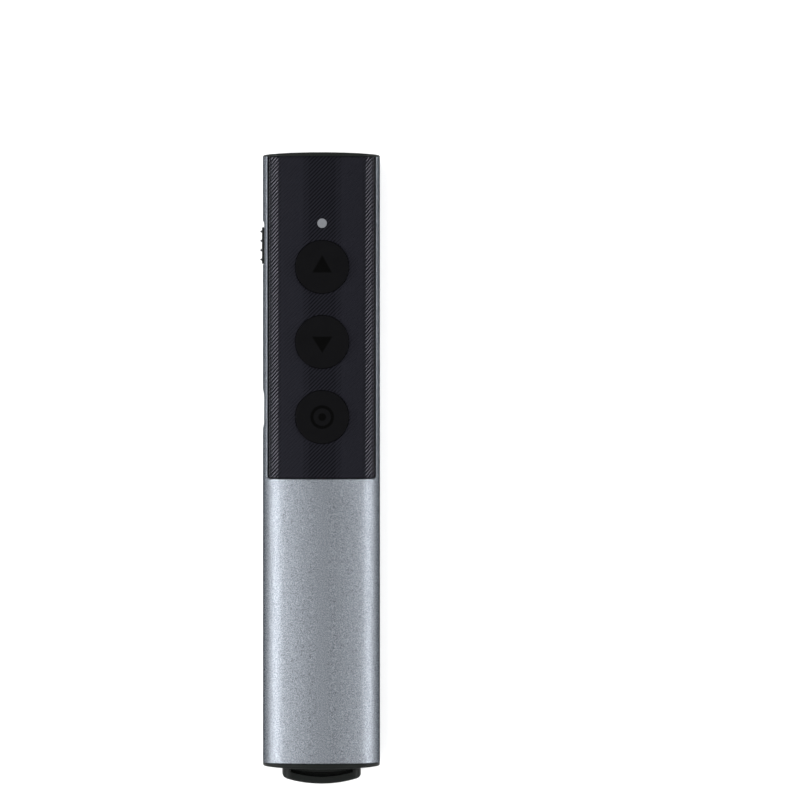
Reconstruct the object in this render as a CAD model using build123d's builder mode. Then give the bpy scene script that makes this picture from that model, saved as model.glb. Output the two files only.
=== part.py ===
from build123d import *
import math
import os

# Wireless presentation clicker lying on its back. +Z comes out of the key face, +Y points to
# the laser nose and +X to the right of the keys. The origin is on the flat back, halfway along
# the tube. Every length is in millimetres.

# Tube: an aluminium extrusion with a flat back and a crowned front.
tube_width = 27.5
tube_thickness = 13.0
tube_length = 142.1
tube_wall = 1.1
crown_rise = 1.0
rail_width = 1.25
window_depth = 6.0
window_corner = 0.6
window_edge = 0.25
tube_end_chamfer = 0.15

# Front panel: a ribbed moulding that drops into the window, held by snap hooks.
panel_length = 75.2
panel_wall = 1.6
panel_skirt = 4.7
panel_gap = 0.15
hook_length = 4.0
hook_thickness = 0.9
hook_bite = 0.3
hook_drop = 6.8
hook_barb_height = 0.9
hook_gap = 0.2
hook_from_nose = 9.0
hook_from_panel_rear = 4.2

# Keys: three flat round keys in one column.
key_diameter = 12.4
key_gap = 0.2
key_proud = 0.05
key_edge = 0.25
key_wall = 1.1
key_flange = 0.8
key_flange_rim = 0.6
key_flange_gap = 0.25
key_travel = 0.5
first_key_from_nose = 25.85
last_key_from_panel_rear = 14.25
key_names = ("up", "down", "laser")

# Tact switches under the keys.
switch_size = 6.0
switch_height = 1.9
plunger_diameter = 3.0
plunger_height = 0.7
plunger_root = 0.5
plunger_gap = 0.1

# Indicator: a small lamp on the board under a clear light pipe.
led_from_nose = 15.65
led_size = 1.6
led_width = 0.8
led_height = 0.6
pipe_diameter = 2.2
pipe_gap = 0.1
pipe_flange_rim = 0.6
pipe_flange = 0.6

# Chassis: a U-shaped tray that slides into the tube and carries the board and the cell.
slide_gap = 0.1
chassis_wall = 1.1
chassis_top_gap = 0.1
standoff_height = 1.07
standoff_diameter = 4.0
saddle_length = 1.6
saddle_width = 10.0
barrel_seat_gap = 0.03
stop_rib = 1.2
stop_rib_height = 2.6
stop_notch = 6.0

# Main board and its screws.
board_thickness = 1.0
board_past_last_key = 12.75
board_gap = 0.25
board_nose_gap = 0.3
board_corner = 1.0
screw_diameter = 1.4
screw_head = 2.6
screw_head_height = 0.8
screw_bite = 0.5
screw_gap = 0.05
cross_width = 0.35
cross_depth = 0.4
screw_from_edge = 2.7
screw_from_board_front = 3.5
screw_past_down_key = 2.4
screw_from_board_rear = 4.2

# Parts soldered to the board. Sizes are the length along Y, the width along X and the height.
# Places are from the board's right edge and from the nose.
radio_size = (4.0, 4.0, 0.8)
radio_place = (3.9, 38.5)
crystal_size = (2.5, 3.2, 0.7)
crystal_place = (3.9, 44.5)
antenna_size = (7.0, 2.0, 1.0)
antenna_place = (2.5, 23.0)
charger_size = (2.9, 1.6, 1.1)
charger_place = (3.7, 56.0)
capacitor_size = (0.6, 1.1, 0.5)
capacitor_pitch = 2.0
capacitor_count = 4
capacitor_place = (2.5, 28.6)

# Charging socket: a USB-C receptacle in the left side.
port_from_nose = 59.1
port_width = 8.94
port_height = 3.26
port_length = 7.35
port_shell = 0.3
port_recess = 0.4
port_gap = 0.1
tongue_width = 6.69
tongue_thickness = 0.7
tongue_length = 4.45
port_core_gap = 0.02

# Power switch: a slide switch whose knob comes out through the left side.
slider_from_nose = 20.75
slider_length = 8.6
slider_height = 3.4
slider_travel = 1.3
slider_proud = 0.2
slider_gap = 0.15
slider_flange = 0.8
slider_flange_rim = 0.35
grip_rib_count = 4
grip_rib_pitch = 2.19
grip_rib_base = 1.3
grip_rib_height = 0.45
grip_rib_trim = 0.2
power_case_length = 9.0
power_case_depth = 3.0
power_case_height = 3.2
lever_width = 1.6
lever_height = 1.4
lever_root = 0.8
lever_engage = 0.5
lever_gap = 0.1

# Nose: a domed end cap with the laser module behind it.
nose_cap_thickness = 0.95
nose_cap_rise = 0.45
nose_spigot = 2.5
spigot_wall = 1.0
spigot_gap = 0.1
cap_edge = 0.45
aperture_diameter = 3.6
laser_window_diameter = 5.0
laser_window_thickness = 1.0
barrel_diameter = 6.5
barrel_length = 9.0
barrel_bore = 4.8
barrel_mouth = 3.0
barrel_lip = 1.0
lens_thickness = 1.6
lens_gap = 0.05
diode_can = 4.6
diode_can_length = 2.6
diode_flange = 1.2
diode_pin = 0.45
diode_pin_spacing = 2.54
diode_pin_length = 0.6
laser_lead_diameter = 0.6
laser_lead_bend = 0.6

# Cell: a pouch cell on a foam pad behind the board, with its two leads and its plug.
cell_width = 17.0
cell_thickness = 5.8
cell_edge = 1.2
cell_from_board = 6.0
cell_from_bay = 6.8
pad_thickness = 0.5
pad_margin = 1.5
header_length = 3.4
header_width = 4.6
header_height = 2.6
header_wall = 0.5
header_from_board_end = 2.6
plug_gap = 0.05
plug_out = 0.8
lead_diameter = 0.8
lead_spacing = 1.25
lead_bend = 2.0

# Tail: a domed end cap round the mouth of the receiver's bay.
tail_cap_thickness = 1.22
tail_cap_rise = 0.47
peg_diameter = 1.6
peg_length = 2.0
peg_gap = 0.05
peg_side = 10.8
bay_end_gap = 0.3
bay_gap = 0.15
bay_end_wall = 1.1

# Receiver: a USB plug stored in the tail, with a loop-shaped grip.
receiver_width = 18.4
receiver_height = 6.8
receiver_section_corner = 2.2
grip_reach = 3.6
grip_rise = 1.5
grip_corner = 1.3
grip_bar = 1.74
grip_side = 2.0
grip_web = 0.8
shoulder_reach = 0.8
shoulder_rise = 0.7
bar_inner_rise = 1.05
housing_depth = 6.2
housing_wall = 0.9
usb_width = 12.0
usb_height = 4.5
usb_length = 12.0
usb_seat = 1.6
usb_shell = 0.3
usb_corner = 0.5
usb_fit = 0.03
latch_hole = 2.2
latch_spacing = 5.2
latch_from_tip = 5.9
usb_tongue_height = 1.9
usb_tongue_recess = 0.5
contact_count = 4
contact_pitch = 2.2
contact_width = 1.1
contact_length = 7.0
contact_thickness = 0.12
receiver_board_thickness = 0.8
receiver_board_gap = 0.2
receiver_chip_size = (3.0, 4.0, 0.8)

os.makedirs("parts", exist_ok=True)

# The cross-section: a flat back, an arc at each side and a wide crown arc across the front.
side_radius = (tube_thickness - crown_rise) / 2
side_x = tube_width / 2 - side_radius
crown_radius = (side_x**2 + (tube_thickness - side_radius) ** 2 - side_radius**2) / (2 * crown_rise)
crown_z = tube_thickness - crown_radius
lean = math.degrees(math.asin(side_x / (crown_radius - side_radius)))
middle_z = tube_thickness / 2
nose_y = tube_length / 2
tail_y = -tube_length / 2


def across(y):
    """The plane across the clicker at y. Extrusions from it run towards the tail."""
    return Plane.XZ.offset(-y)


def oval(inset):
    """The cross-section of the outer skin, drawn in by inset."""
    with BuildSketch() as outline:
        with BuildLine():
            Line((-side_x, inset), (side_x, inset))
            CenterArc((side_x, side_radius), side_radius - inset, -90, 180 - lean)
            CenterArc((0, crown_z), crown_radius - inset, 90 - lean, 2 * lean)
            CenterArc((-side_x, side_radius), side_radius - inset, 90 + lean, 180 - lean)
        make_face()
    return outline.sketch


def side_reach(z, inset):
    """Half the width of the cross-section at height z, drawn in by inset."""
    return side_x + math.sqrt((side_radius - inset) ** 2 - (z - side_radius) ** 2)


def front_height(x, inset):
    """Height of the front skin at x, drawn in by inset."""
    if abs(x) < (crown_radius - inset) * math.sin(math.radians(lean)):
        return crown_z + math.sqrt((crown_radius - inset) ** 2 - x**2)
    return side_radius + math.sqrt((side_radius - inset) ** 2 - (abs(x) - side_x) ** 2)


def save(piece, name):
    """Names a finished sub-part and writes its STEP file."""
    piece.part.label = name
    export_step(piece.part, f"parts/{name}.step")


# Heights of the stack, from the back to the front.
chassis_skin = tube_wall + slide_gap
floor_top = chassis_skin + chassis_wall
board_bottom = floor_top + standoff_height
board_top = board_bottom + board_thickness
switch_top = board_top + switch_height
plunger_top = switch_top + plunger_height
flange_radius = key_diameter / 2 + key_flange_rim
flange_top = front_height(flange_radius, panel_wall) - key_flange_gap
flange_bottom = flange_top - key_flange
panel_foot = tube_thickness - panel_skirt
chassis_top = panel_foot - chassis_top_gap
port_z = board_top + port_height / 2
lever_z = board_top + power_case_height / 2

# Places along the clicker.
window_rear = nose_y - panel_length - panel_gap
window_half = tube_width / 2 - rail_width
window_floor = tube_thickness - window_depth
panel_rear = nose_y - panel_length
first_key_y = nose_y - first_key_from_nose
last_key_y = panel_rear + last_key_from_panel_rear
key_pitch = (first_key_y - last_key_y) / (len(key_names) - 1)
key_places = [first_key_y - row * key_pitch for row in range(len(key_names))]
led_y = nose_y - led_from_nose
slider_y = nose_y - slider_from_nose
port_y = nose_y - port_from_nose
barrel_front = nose_y - nose_spigot - spigot_gap
barrel_rear = barrel_front - barrel_length
chassis_front = barrel_front
board_front = barrel_rear - diode_flange - board_nose_gap
board_rear = last_key_y - board_past_last_key
board_length = board_front - board_rear
board_half = side_reach(board_bottom, chassis_skin + chassis_wall) - board_gap
bay_depth = housing_depth + usb_length + bay_end_gap
bay_front = tail_y + bay_depth + bay_end_wall
chassis_length = chassis_front - bay_front
screw_x = board_half - screw_from_edge
screw_places = [
    (screw_x, board_front - screw_from_board_front),
    (-screw_x, key_places[1] + screw_past_down_key),
    (screw_x, board_rear + screw_from_board_rear),
]
hook_places = [
    nose_y - hook_from_nose,
    first_key_y - key_pitch / 2,
    panel_rear + hook_from_panel_rear,
]
hook_outer = side_reach(chassis_top, chassis_skin + chassis_wall) - hook_gap
hook_inner = hook_outer - hook_thickness
hook_root = front_height(hook_inner, panel_wall) + panel_wall / 4
hook_tip = tube_thickness - hook_drop
hook_catch = side_reach(hook_tip + hook_barb_height, chassis_skin + chassis_wall) + hook_bite
cell_front = board_rear - cell_from_board
cell_rear = bay_front + cell_from_bay
cell_length = cell_front - cell_rear


def window_plan(gap):
    """Plan of the milled window, drawn in by gap. It runs out past the nose."""
    rear = window_rear + gap
    front = nose_y + window_corner * 2
    with BuildSketch() as plan:
        with Locations((0, (rear + front) / 2)):
            RectangleRounded(2 * (window_half - gap), front - rear, window_corner - gap)
    return plan.sketch


# ---------------------------------------------------------------- tube and panel

slider_slot = slider_length + slider_travel + 2 * slider_gap
slider_slot_y = slider_y + slider_travel / 2

with BuildPart() as body_tube:
    with BuildSketch(across(nose_y)):
        add(oval(0))
        add(oval(tube_wall), mode=Mode.SUBTRACT)
    extrude(amount=tube_length)
    tail_rim = body_tube.faces().sort_by(Axis.Y)[0].outer_wire().edges()
    chamfer(tail_rim, length=tube_end_chamfer)
    with BuildSketch(Plane.XY.offset(window_floor)):
        add(window_plan(0))
    extrude(amount=window_depth, mode=Mode.SUBTRACT)
    window_edges = [
        face.edges().sort_by(Axis.Z)[-1]
        for face in body_tube.faces(Select.LAST)
        if abs(face.center().Y) < nose_y - tube_wall and abs(face.normal_at(face.center()).Z) < 0.01
    ]
    fillet(window_edges, radius=window_edge)
    with BuildSketch(Plane.YZ.offset(-tube_width / 2)):
        with Locations((slider_slot_y, lever_z)):
            RectangleRounded(slider_slot, slider_height + 2 * slider_gap, slider_height / 4)
        with Locations((port_y, port_z)):
            SlotOverall(port_width + 2 * port_gap, port_height + 2 * port_gap)
    extrude(amount=rail_width + side_radius / 2, mode=Mode.SUBTRACT)
save(body_tube, "body_tube")

with BuildPart() as front_panel:
    with BuildSketch(across(nose_y)):
        add(oval(0))
        add(oval(panel_wall), mode=Mode.SUBTRACT)
    extrude(amount=panel_length)
    with BuildSketch(Plane.XY.offset(panel_foot)):
        add(window_plan(panel_gap))
    extrude(amount=panel_skirt, mode=Mode.INTERSECT)
    with BuildSketch(Plane.XY.offset(panel_foot)):
        with Locations(*[(0, y) for y in key_places]):
            Circle(key_diameter / 2 + key_gap)
        with Locations((0, led_y)):
            Circle(pipe_diameter / 2 + pipe_gap)
    extrude(amount=panel_skirt, mode=Mode.SUBTRACT)
    # Snap hooks: prongs under both edges, with barbs that catch in the chassis walls.
    for hook_y in hook_places:
        with BuildSketch(across(hook_y + hook_length / 2)):
            with BuildLine():
                Polyline(
                    (hook_inner, hook_root),
                    (hook_inner, hook_tip),
                    (hook_outer - hook_thickness / 3, hook_tip),
                    (hook_catch, hook_tip + hook_barb_height),
                    (hook_outer, hook_tip + hook_barb_height),
                    (hook_outer, panel_foot + panel_wall / 4),
                    (hook_outer, hook_root - panel_wall / 4),
                    close=True,
                )
            make_face()
            mirror(about=Plane.YZ)
        extrude(amount=hook_length)
save(front_panel, "front_panel")

# ---------------------------------------------------------------- chassis

with BuildPart() as chassis:
    with BuildSketch(across(chassis_front)):
        add(oval(chassis_skin))
        add(oval(chassis_skin + chassis_wall), mode=Mode.SUBTRACT)
    extrude(amount=chassis_length)
    # Cross ribs: two saddles under the laser module and a stop at each end of the cell.
    for saddle_front in (barrel_front - saddle_length, barrel_rear + 2 * saddle_length):
        with BuildSketch(across(saddle_front)):
            with Locations((0, floor_top)):
                Rectangle(saddle_width, middle_z - floor_top, align=(Align.CENTER, Align.MIN))
            with Locations((0, middle_z)):
                Circle(barrel_diameter / 2 + barrel_seat_gap, mode=Mode.SUBTRACT)
        extrude(amount=saddle_length)
    for rib_front in (cell_front + slide_gap + stop_rib, cell_rear - slide_gap):
        with BuildSketch(across(rib_front)):
            with Locations((0, floor_top)):
                Rectangle(cell_width, stop_rib_height, align=(Align.CENTER, Align.MIN))
                Rectangle(
                    stop_notch, stop_rib_height, align=(Align.CENTER, Align.MIN), mode=Mode.SUBTRACT
                )
        extrude(amount=stop_rib)
    # The walls end below the panel's skirt.
    with BuildSketch(Plane.XY.offset(chassis_top)):
        with Locations((0, (chassis_front + bay_front) / 2)):
            Rectangle(tube_width, chassis_length)
    extrude(amount=tube_thickness - chassis_top, mode=Mode.SUBTRACT)
    # Openings in the left wall for the power knob and the charging socket.
    knob_opening = slider_length + slider_travel + 4 * (slider_flange_rim + slider_gap) + slider_travel
    knob_sill = lever_z - slider_height / 2 - slider_flange_rim - slider_gap
    with BuildSketch(Plane.YZ.offset(-tube_width / 2)):
        with Locations((slider_slot_y, knob_sill)):
            Rectangle(knob_opening, tube_thickness, align=(Align.CENTER, Align.MIN))
        with Locations((port_y, board_top - port_gap)):
            Rectangle(port_width + 4 * port_gap, tube_thickness, align=(Align.CENTER, Align.MIN))
    extrude(amount=tube_width / 2 - board_half + board_gap, mode=Mode.SUBTRACT)
    # Windows that the panel's barbs catch in.
    with BuildSketch(Plane.YZ.offset(-tube_width / 2)):
        with Locations(*[(hook_y, hook_tip + hook_barb_height / 2) for hook_y in hook_places]):
            Rectangle(hook_length + 2 * hook_gap, hook_barb_height + 2 * hook_gap)
    extrude(amount=tube_width, mode=Mode.SUBTRACT)
    # Standoffs under the board, drilled for its screws.
    with BuildSketch(Plane.XY.offset(floor_top - chassis_wall / 2)):
        with Locations(*screw_places):
            Circle(standoff_diameter / 2)
    extrude(amount=standoff_height + chassis_wall / 2)
    with BuildSketch(Plane.XY.offset(board_bottom)):
        with Locations(*screw_places):
            Circle(screw_diameter / 2 + screw_gap)
    extrude(amount=-(standoff_height + screw_bite + screw_gap), mode=Mode.SUBTRACT)
save(chassis, "chassis")

# ---------------------------------------------------------------- board

with BuildPart() as main_board:
    with BuildSketch(Plane.XY.offset(board_bottom)):
        with Locations((0, (board_front + board_rear) / 2)):
            RectangleRounded(2 * board_half, board_length, board_corner)
        with Locations(*screw_places):
            Circle(screw_diameter / 2 + screw_gap, mode=Mode.SUBTRACT)
    extrude(amount=board_thickness)
save(main_board, "main_board")

with BuildPart() as board_screws:
    with BuildSketch(Plane.XY.offset(board_top)):
        with Locations(*screw_places):
            Circle(screw_head / 2)
    extrude(amount=screw_head_height)
    with BuildSketch(Plane.XY.offset(board_top)):
        with Locations(*screw_places):
            Circle(screw_diameter / 2)
    extrude(amount=-(board_thickness + standoff_height + screw_bite))
    with BuildSketch(Plane.XY.offset(board_top + screw_head_height)):
        with Locations(*screw_places):
            Rectangle(screw_head * 0.6, cross_width)
            Rectangle(cross_width, screw_head * 0.6)
    extrude(amount=-cross_depth, mode=Mode.SUBTRACT)
save(board_screws, "board_screws")


def on_board(place):
    """Turns a place from the board's right edge and the nose into X and Y."""
    return board_half - place[0], nose_y - place[1]


def soldered_block(name, middle, size, count=1):
    """A component standing on the board, or a row of count of them running back from middle."""
    length, width, height = size
    rows = [(middle[0], middle[1] - step * capacitor_pitch) for step in range(count)]
    with BuildPart() as block:
        with BuildSketch(Plane.XY.offset(board_top)):
            with Locations(*rows):
                Rectangle(width, length)
        extrude(amount=height)
    save(block, name)


soldered_block("radio_chip", on_board(radio_place), radio_size)
soldered_block("crystal", on_board(crystal_place), crystal_size)
soldered_block("antenna", on_board(antenna_place), antenna_size)
soldered_block("charger_chip", on_board(charger_place), charger_size)
soldered_block("capacitors", on_board(capacitor_place), capacitor_size, capacitor_count)
soldered_block("indicator_led", (0, led_y), (led_size, led_width, led_height))

with BuildPart() as light_pipe:
    with BuildSketch(Plane.XY.offset(board_top + led_height)):
        with Locations((0, led_y)):
            Circle(pipe_diameter / 2)
    extrude(amount=tube_thickness - board_top - led_height)
    pipe_flange_top = front_height(pipe_diameter / 2 + pipe_flange_rim, panel_wall) - pipe_gap
    with BuildSketch(Plane.XY.offset(pipe_flange_top)):
        with Locations((0, led_y)):
            Circle(pipe_diameter / 2 + pipe_flange_rim)
    extrude(amount=-pipe_flange)
save(light_pipe, "light_pipe")

# ---------------------------------------------------------------- keys

for key_name, key_y in zip(key_names, key_places):
    with BuildPart() as key_switch:
        with BuildSketch(Plane.XY.offset(board_top)):
            with Locations((0, key_y)):
                Rectangle(switch_size, switch_size)
        extrude(amount=switch_height)
        fillet(key_switch.edges().filter_by(Axis.Z), radius=switch_size / 12)
        with BuildSketch(Plane.XY.offset(switch_top)):
            with Locations((0, key_y)):
                Circle(plunger_diameter / 2 + plunger_gap)
        extrude(amount=-(plunger_root + key_travel + plunger_gap), mode=Mode.SUBTRACT)
    save(key_switch, f"{key_name}_switch")

    with BuildPart() as plunger:
        with BuildSketch(Plane.XY.offset(switch_top - plunger_root)):
            with Locations((0, key_y)):
                Circle(plunger_diameter / 2)
        extrude(amount=plunger_root + plunger_height)
    save(plunger, f"{key_name}_plunger")

    with BuildPart() as key:
        with BuildSketch(Plane.XY.offset(plunger_top)):
            with Locations((0, key_y)):
                Circle(plunger_diameter / 2)
        extrude(amount=flange_bottom - plunger_top)
        with BuildSketch(Plane.XY.offset(flange_bottom)):
            with Locations((0, key_y)):
                Circle(flange_radius)
        extrude(amount=key_flange)
        with BuildSketch(Plane.XY.offset(flange_top)):
            with Locations((0, key_y)):
                Circle(key_diameter / 2)
        extrude(amount=tube_thickness + key_proud - flange_top)
        fillet(key.faces().sort_by(Axis.Z)[-1].edges(), radius=key_edge)
        # Moulded hollow, with the post left standing in the middle.
        with BuildSketch(Plane.XY.offset(flange_bottom)):
            with Locations((0, key_y)):
                Circle(key_diameter / 2 - key_wall)
                Circle(plunger_diameter / 2, mode=Mode.SUBTRACT)
        extrude(amount=tube_thickness + key_proud - key_wall - flange_bottom, mode=Mode.SUBTRACT)
    save(key, f"{key_name}_key")

# ---------------------------------------------------------------- charging socket

port_mouth = tube_width / 2 - port_recess

with BuildPart() as usb_socket_shell:
    with BuildSketch(Plane.YZ.offset(-port_mouth)):
        with Locations((port_y, port_z)):
            SlotOverall(port_width, port_height)
            SlotOverall(port_width - 2 * port_shell, port_height - 2 * port_shell, mode=Mode.SUBTRACT)
    extrude(amount=port_length)
save(usb_socket_shell, "usb_socket_shell")

with BuildPart() as usb_socket_tongue:
    core_trim = 2 * (port_shell + port_core_gap)
    with BuildSketch(Plane.YZ.offset(-port_mouth + port_length)):
        with Locations((port_y, port_z)):
            SlotOverall(port_width - core_trim, port_height - core_trim)
    extrude(amount=-(port_length - tongue_length - port_shell))
    with BuildSketch(Plane.YZ.offset(-port_mouth + port_shell + tongue_length)):
        with Locations((port_y, port_z)):
            Rectangle(tongue_width, tongue_thickness)
    extrude(amount=-tongue_length)
save(usb_socket_tongue, "usb_socket_tongue")

# ---------------------------------------------------------------- power switch

flange_half_height = slider_height / 2 + slider_flange_rim
flange_corner = side_radius + flange_half_height + abs(lever_z - side_radius)
flange_out = side_reach(flange_corner, tube_wall) - slider_gap
flange_in = flange_out - slider_flange
case_out = board_half - slider_gap
lever_tip = flange_in + lever_engage
knob_out = tube_width / 2 + slider_proud

with BuildPart() as power_switch_case:
    with BuildSketch(Plane.XY.offset(board_top)):
        with Locations((-case_out + power_case_depth / 2, slider_slot_y)):
            Rectangle(power_case_depth, power_case_length)
    extrude(amount=power_case_height)
    with BuildSketch(Plane.YZ.offset(-case_out)):
        with Locations((slider_slot_y, lever_z)):
            Rectangle(lever_width + slider_travel + 2 * lever_gap, lever_height + 2 * lever_gap)
    extrude(amount=lever_root + lever_gap, mode=Mode.SUBTRACT)
save(power_switch_case, "power_switch_case")

with BuildPart() as power_lever:
    with BuildSketch(Plane.YZ.offset(-lever_tip)):
        with Locations((slider_y, lever_z)):
            Rectangle(lever_width, lever_height)
    extrude(amount=lever_tip - case_out + lever_root)
save(power_lever, "power_lever")

with BuildPart() as power_knob:
    flange_length = slider_length + 2 * (slider_travel + slider_gap)
    with BuildSketch(Plane.YZ.offset(-flange_out)):
        with Locations((slider_y, lever_z)):
            Rectangle(flange_length, 2 * flange_half_height)
    extrude(amount=slider_flange)
    with BuildSketch(Plane.YZ.offset(-knob_out)):
        with Locations((slider_y, lever_z)):
            RectangleRounded(slider_length, slider_height, slider_height / 4)
    extrude(amount=knob_out - flange_out)
    with BuildSketch(Plane.YZ.offset(-flange_in)):
        with Locations((slider_y, lever_z)):
            Rectangle(lever_width + lever_gap, lever_height + lever_gap)
    extrude(amount=-(lever_engage + lever_gap), mode=Mode.SUBTRACT)
    # Thumb ribs: triangles in plan that run up the knob.
    rib_height = slider_height - 2 * grip_rib_trim
    with BuildSketch(Plane.XY.offset(lever_z - rib_height / 2)):
        with Locations((-knob_out, slider_y)):
            with GridLocations(0, grip_rib_pitch, 1, grip_rib_count):
                Polygon(
                    (slider_proud / 2, -grip_rib_base / 2),
                    (slider_proud / 2, grip_rib_base / 2),
                    (0, grip_rib_base / 2),
                    (-grip_rib_height, 0),
                    (0, -grip_rib_base / 2),
                    align=None,
                )
    extrude(amount=rib_height)
save(power_knob, "power_knob")

# ---------------------------------------------------------------- nose


def cap_plan(face_y, outward, thickness, rise):
    """Plan of an end cap: flat on the tube's end, and crowned by rise on its outer side."""
    half = tube_width / 2
    rim_y = face_y + outward * (thickness - rise)
    with BuildSketch() as plan:
        with BuildLine():
            Polyline((-half, rim_y), (-half, face_y), (half, face_y), (half, rim_y))
            ThreePointArc((half, rim_y), (0, face_y + outward * thickness), (-half, rim_y))
        make_face()
    return plan.sketch


with BuildPart() as nose_cap:
    with BuildSketch():
        add(cap_plan(nose_y, 1, nose_cap_thickness, nose_cap_rise))
    extrude(amount=tube_thickness)
    with BuildSketch(across(nose_y + nose_cap_thickness)):
        add(oval(0))
    extrude(amount=nose_cap_thickness, mode=Mode.INTERSECT)
    outer_rim = nose_cap.faces().sort_by(Axis.Y)[-1].outer_wire().edges()
    fillet(outer_rim, radius=cap_edge)
    with BuildSketch(across(nose_y)):
        add(oval(panel_wall + spigot_gap))
        add(oval(panel_wall + spigot_gap + spigot_wall), mode=Mode.SUBTRACT)
    extrude(amount=nose_spigot)
    with BuildSketch(across(nose_y + nose_cap_thickness)):
        with Locations((0, middle_z)):
            Circle(aperture_diameter / 2)
    extrude(amount=nose_cap_thickness, mode=Mode.SUBTRACT)
save(nose_cap, "nose_cap")

with BuildPart() as laser_window:
    with BuildSketch(across(nose_y)):
        with Locations((0, middle_z)):
            Circle(laser_window_diameter / 2)
    extrude(amount=laser_window_thickness)
save(laser_window, "laser_window")

with BuildPart() as laser_barrel:
    with BuildSketch(across(barrel_front)):
        with Locations((0, middle_z)):
            Circle(barrel_diameter / 2)
            Circle(barrel_mouth / 2, mode=Mode.SUBTRACT)
    extrude(amount=barrel_lip)
    with BuildSketch(across(barrel_front - barrel_lip)):
        with Locations((0, middle_z)):
            Circle(barrel_diameter / 2)
            Circle(barrel_bore / 2, mode=Mode.SUBTRACT)
    extrude(amount=barrel_length - barrel_lip)
save(laser_barrel, "laser_barrel")

with BuildPart() as laser_lens:
    with BuildSketch(across(barrel_front - barrel_lip)):
        with Locations((0, middle_z)):
            Circle(barrel_bore / 2 - lens_gap)
    extrude(amount=lens_thickness)
save(laser_lens, "laser_lens")

with BuildPart() as laser_diode:
    with BuildSketch(across(barrel_rear)):
        with Locations((0, middle_z)):
            Circle(barrel_diameter / 2 - lens_gap)
    extrude(amount=diode_flange)
    with BuildSketch(across(barrel_rear)):
        with Locations((0, middle_z)):
            Circle(diode_can / 2)
    extrude(amount=-diode_can_length)
    with BuildSketch(across(barrel_rear - diode_flange)):
        with Locations((0, middle_z)):
            with GridLocations(diode_pin_spacing, 0, 2, 1):
                Circle(diode_pin / 2)
    extrude(amount=diode_pin_length)
save(laser_diode, "laser_diode")

# ---------------------------------------------------------------- cell

with BuildPart() as cell_pad:
    with BuildSketch(Plane.XY.offset(floor_top)):
        with Locations((0, (cell_front + cell_rear) / 2)):
            Rectangle(cell_width - 2 * pad_margin, cell_length - 2 * pad_margin)
    extrude(amount=pad_thickness)
save(cell_pad, "cell_pad")

with BuildPart() as battery_cell:
    with BuildSketch(across(cell_front)):
        with Locations((0, floor_top + pad_thickness + cell_thickness / 2)):
            RectangleRounded(cell_width, cell_thickness, cell_edge)
    extrude(amount=cell_length)
save(battery_cell, "battery_cell")

header_y = board_rear + header_from_board_end
with BuildPart() as battery_header:
    with BuildSketch(Plane.XY.offset(board_top)):
        with Locations((0, header_y)):
            Rectangle(header_width, header_length)
    extrude(amount=header_height)
    with BuildSketch(across(header_y + header_length / 2 - header_wall)):
        with Locations((0, board_top + header_height / 2)):
            Rectangle(header_width - 2 * header_wall, header_height - 2 * header_wall)
    extrude(amount=header_length, mode=Mode.SUBTRACT)
save(battery_header, "battery_header")

plug_rear = header_y - header_length / 2 - plug_out
with BuildPart() as battery_plug:
    with BuildSketch(across(header_y + header_length / 2 - header_wall - plug_gap)):
        with Locations((0, board_top + header_height / 2)):
            Rectangle(
                header_width - 2 * (header_wall + plug_gap), header_height - 2 * (header_wall + plug_gap)
            )
    extrude(amount=header_length - header_wall - plug_gap + plug_out)
save(battery_plug, "battery_plug")

lead_cell_z = floor_top + pad_thickness + cell_thickness / 2
lead_plug_z = board_top + header_height / 2
with BuildPart() as battery_leads:
    for side in (-1, 1):
        lead_x = side * lead_spacing / 2
        lead_span = plug_rear - cell_front
        with BuildLine() as lead_path:
            FilletPolyline(
                (lead_x, cell_front, lead_cell_z),
                (lead_x, cell_front + lead_span / 3, lead_cell_z),
                (lead_x, plug_rear - lead_span / 3, lead_plug_z),
                (lead_x, plug_rear, lead_plug_z),
                radius=lead_bend,
            )
        with BuildSketch(Plane(origin=lead_path.line @ 0, z_dir=lead_path.line % 0)):
            Circle(lead_diameter / 2)
        sweep(path=lead_path.line)
save(battery_leads, "battery_leads")

laser_lead_start = barrel_rear - diode_flange - diode_pin_length
with BuildPart() as laser_leads:
    for side in (-1, 1):
        lead_x = side * diode_pin_spacing / 2
        with BuildLine() as laser_path:
            FilletPolyline(
                (lead_x, laser_lead_start, middle_z),
                (lead_x, laser_lead_start - 1.5 * laser_lead_bend, middle_z),
                (lead_x, laser_lead_start - 1.5 * laser_lead_bend, board_top),
                radius=laser_lead_bend,
            )
        with BuildSketch(Plane(origin=laser_path.line @ 0, z_dir=laser_path.line % 0)):
            Circle(laser_lead_diameter / 2)
        sweep(path=laser_path.line)
save(laser_leads, "laser_leads")

# ---------------------------------------------------------------- tail

receiver_inner = tail_y + housing_depth
usb_tip = receiver_inner + usb_length


with BuildPart() as tail_cap:
    with BuildSketch():
        add(cap_plan(tail_y, -1, tail_cap_thickness, tail_cap_rise))
    extrude(amount=tube_thickness)
    with BuildSketch(across(tail_y)):
        add(oval(0))
    extrude(amount=tail_cap_thickness, mode=Mode.INTERSECT)
    tail_outer_rim = tail_cap.faces().sort_by(Axis.Y)[0].outer_wire().edges()
    fillet(tail_outer_rim, radius=cap_edge)
    with BuildSketch(across(tail_y)):
        with Locations((0, middle_z)):
            RectangleRounded(
                receiver_width + 2 * bay_gap, receiver_height + 2 * bay_gap, receiver_section_corner
            )
    extrude(amount=tail_cap_thickness, mode=Mode.SUBTRACT)
    with BuildSketch(across(tail_y)):
        with Locations((-peg_side, middle_z), (peg_side, middle_z)):
            Circle(peg_diameter / 2)
    extrude(amount=-peg_length)
save(tail_cap, "tail_cap")

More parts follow.
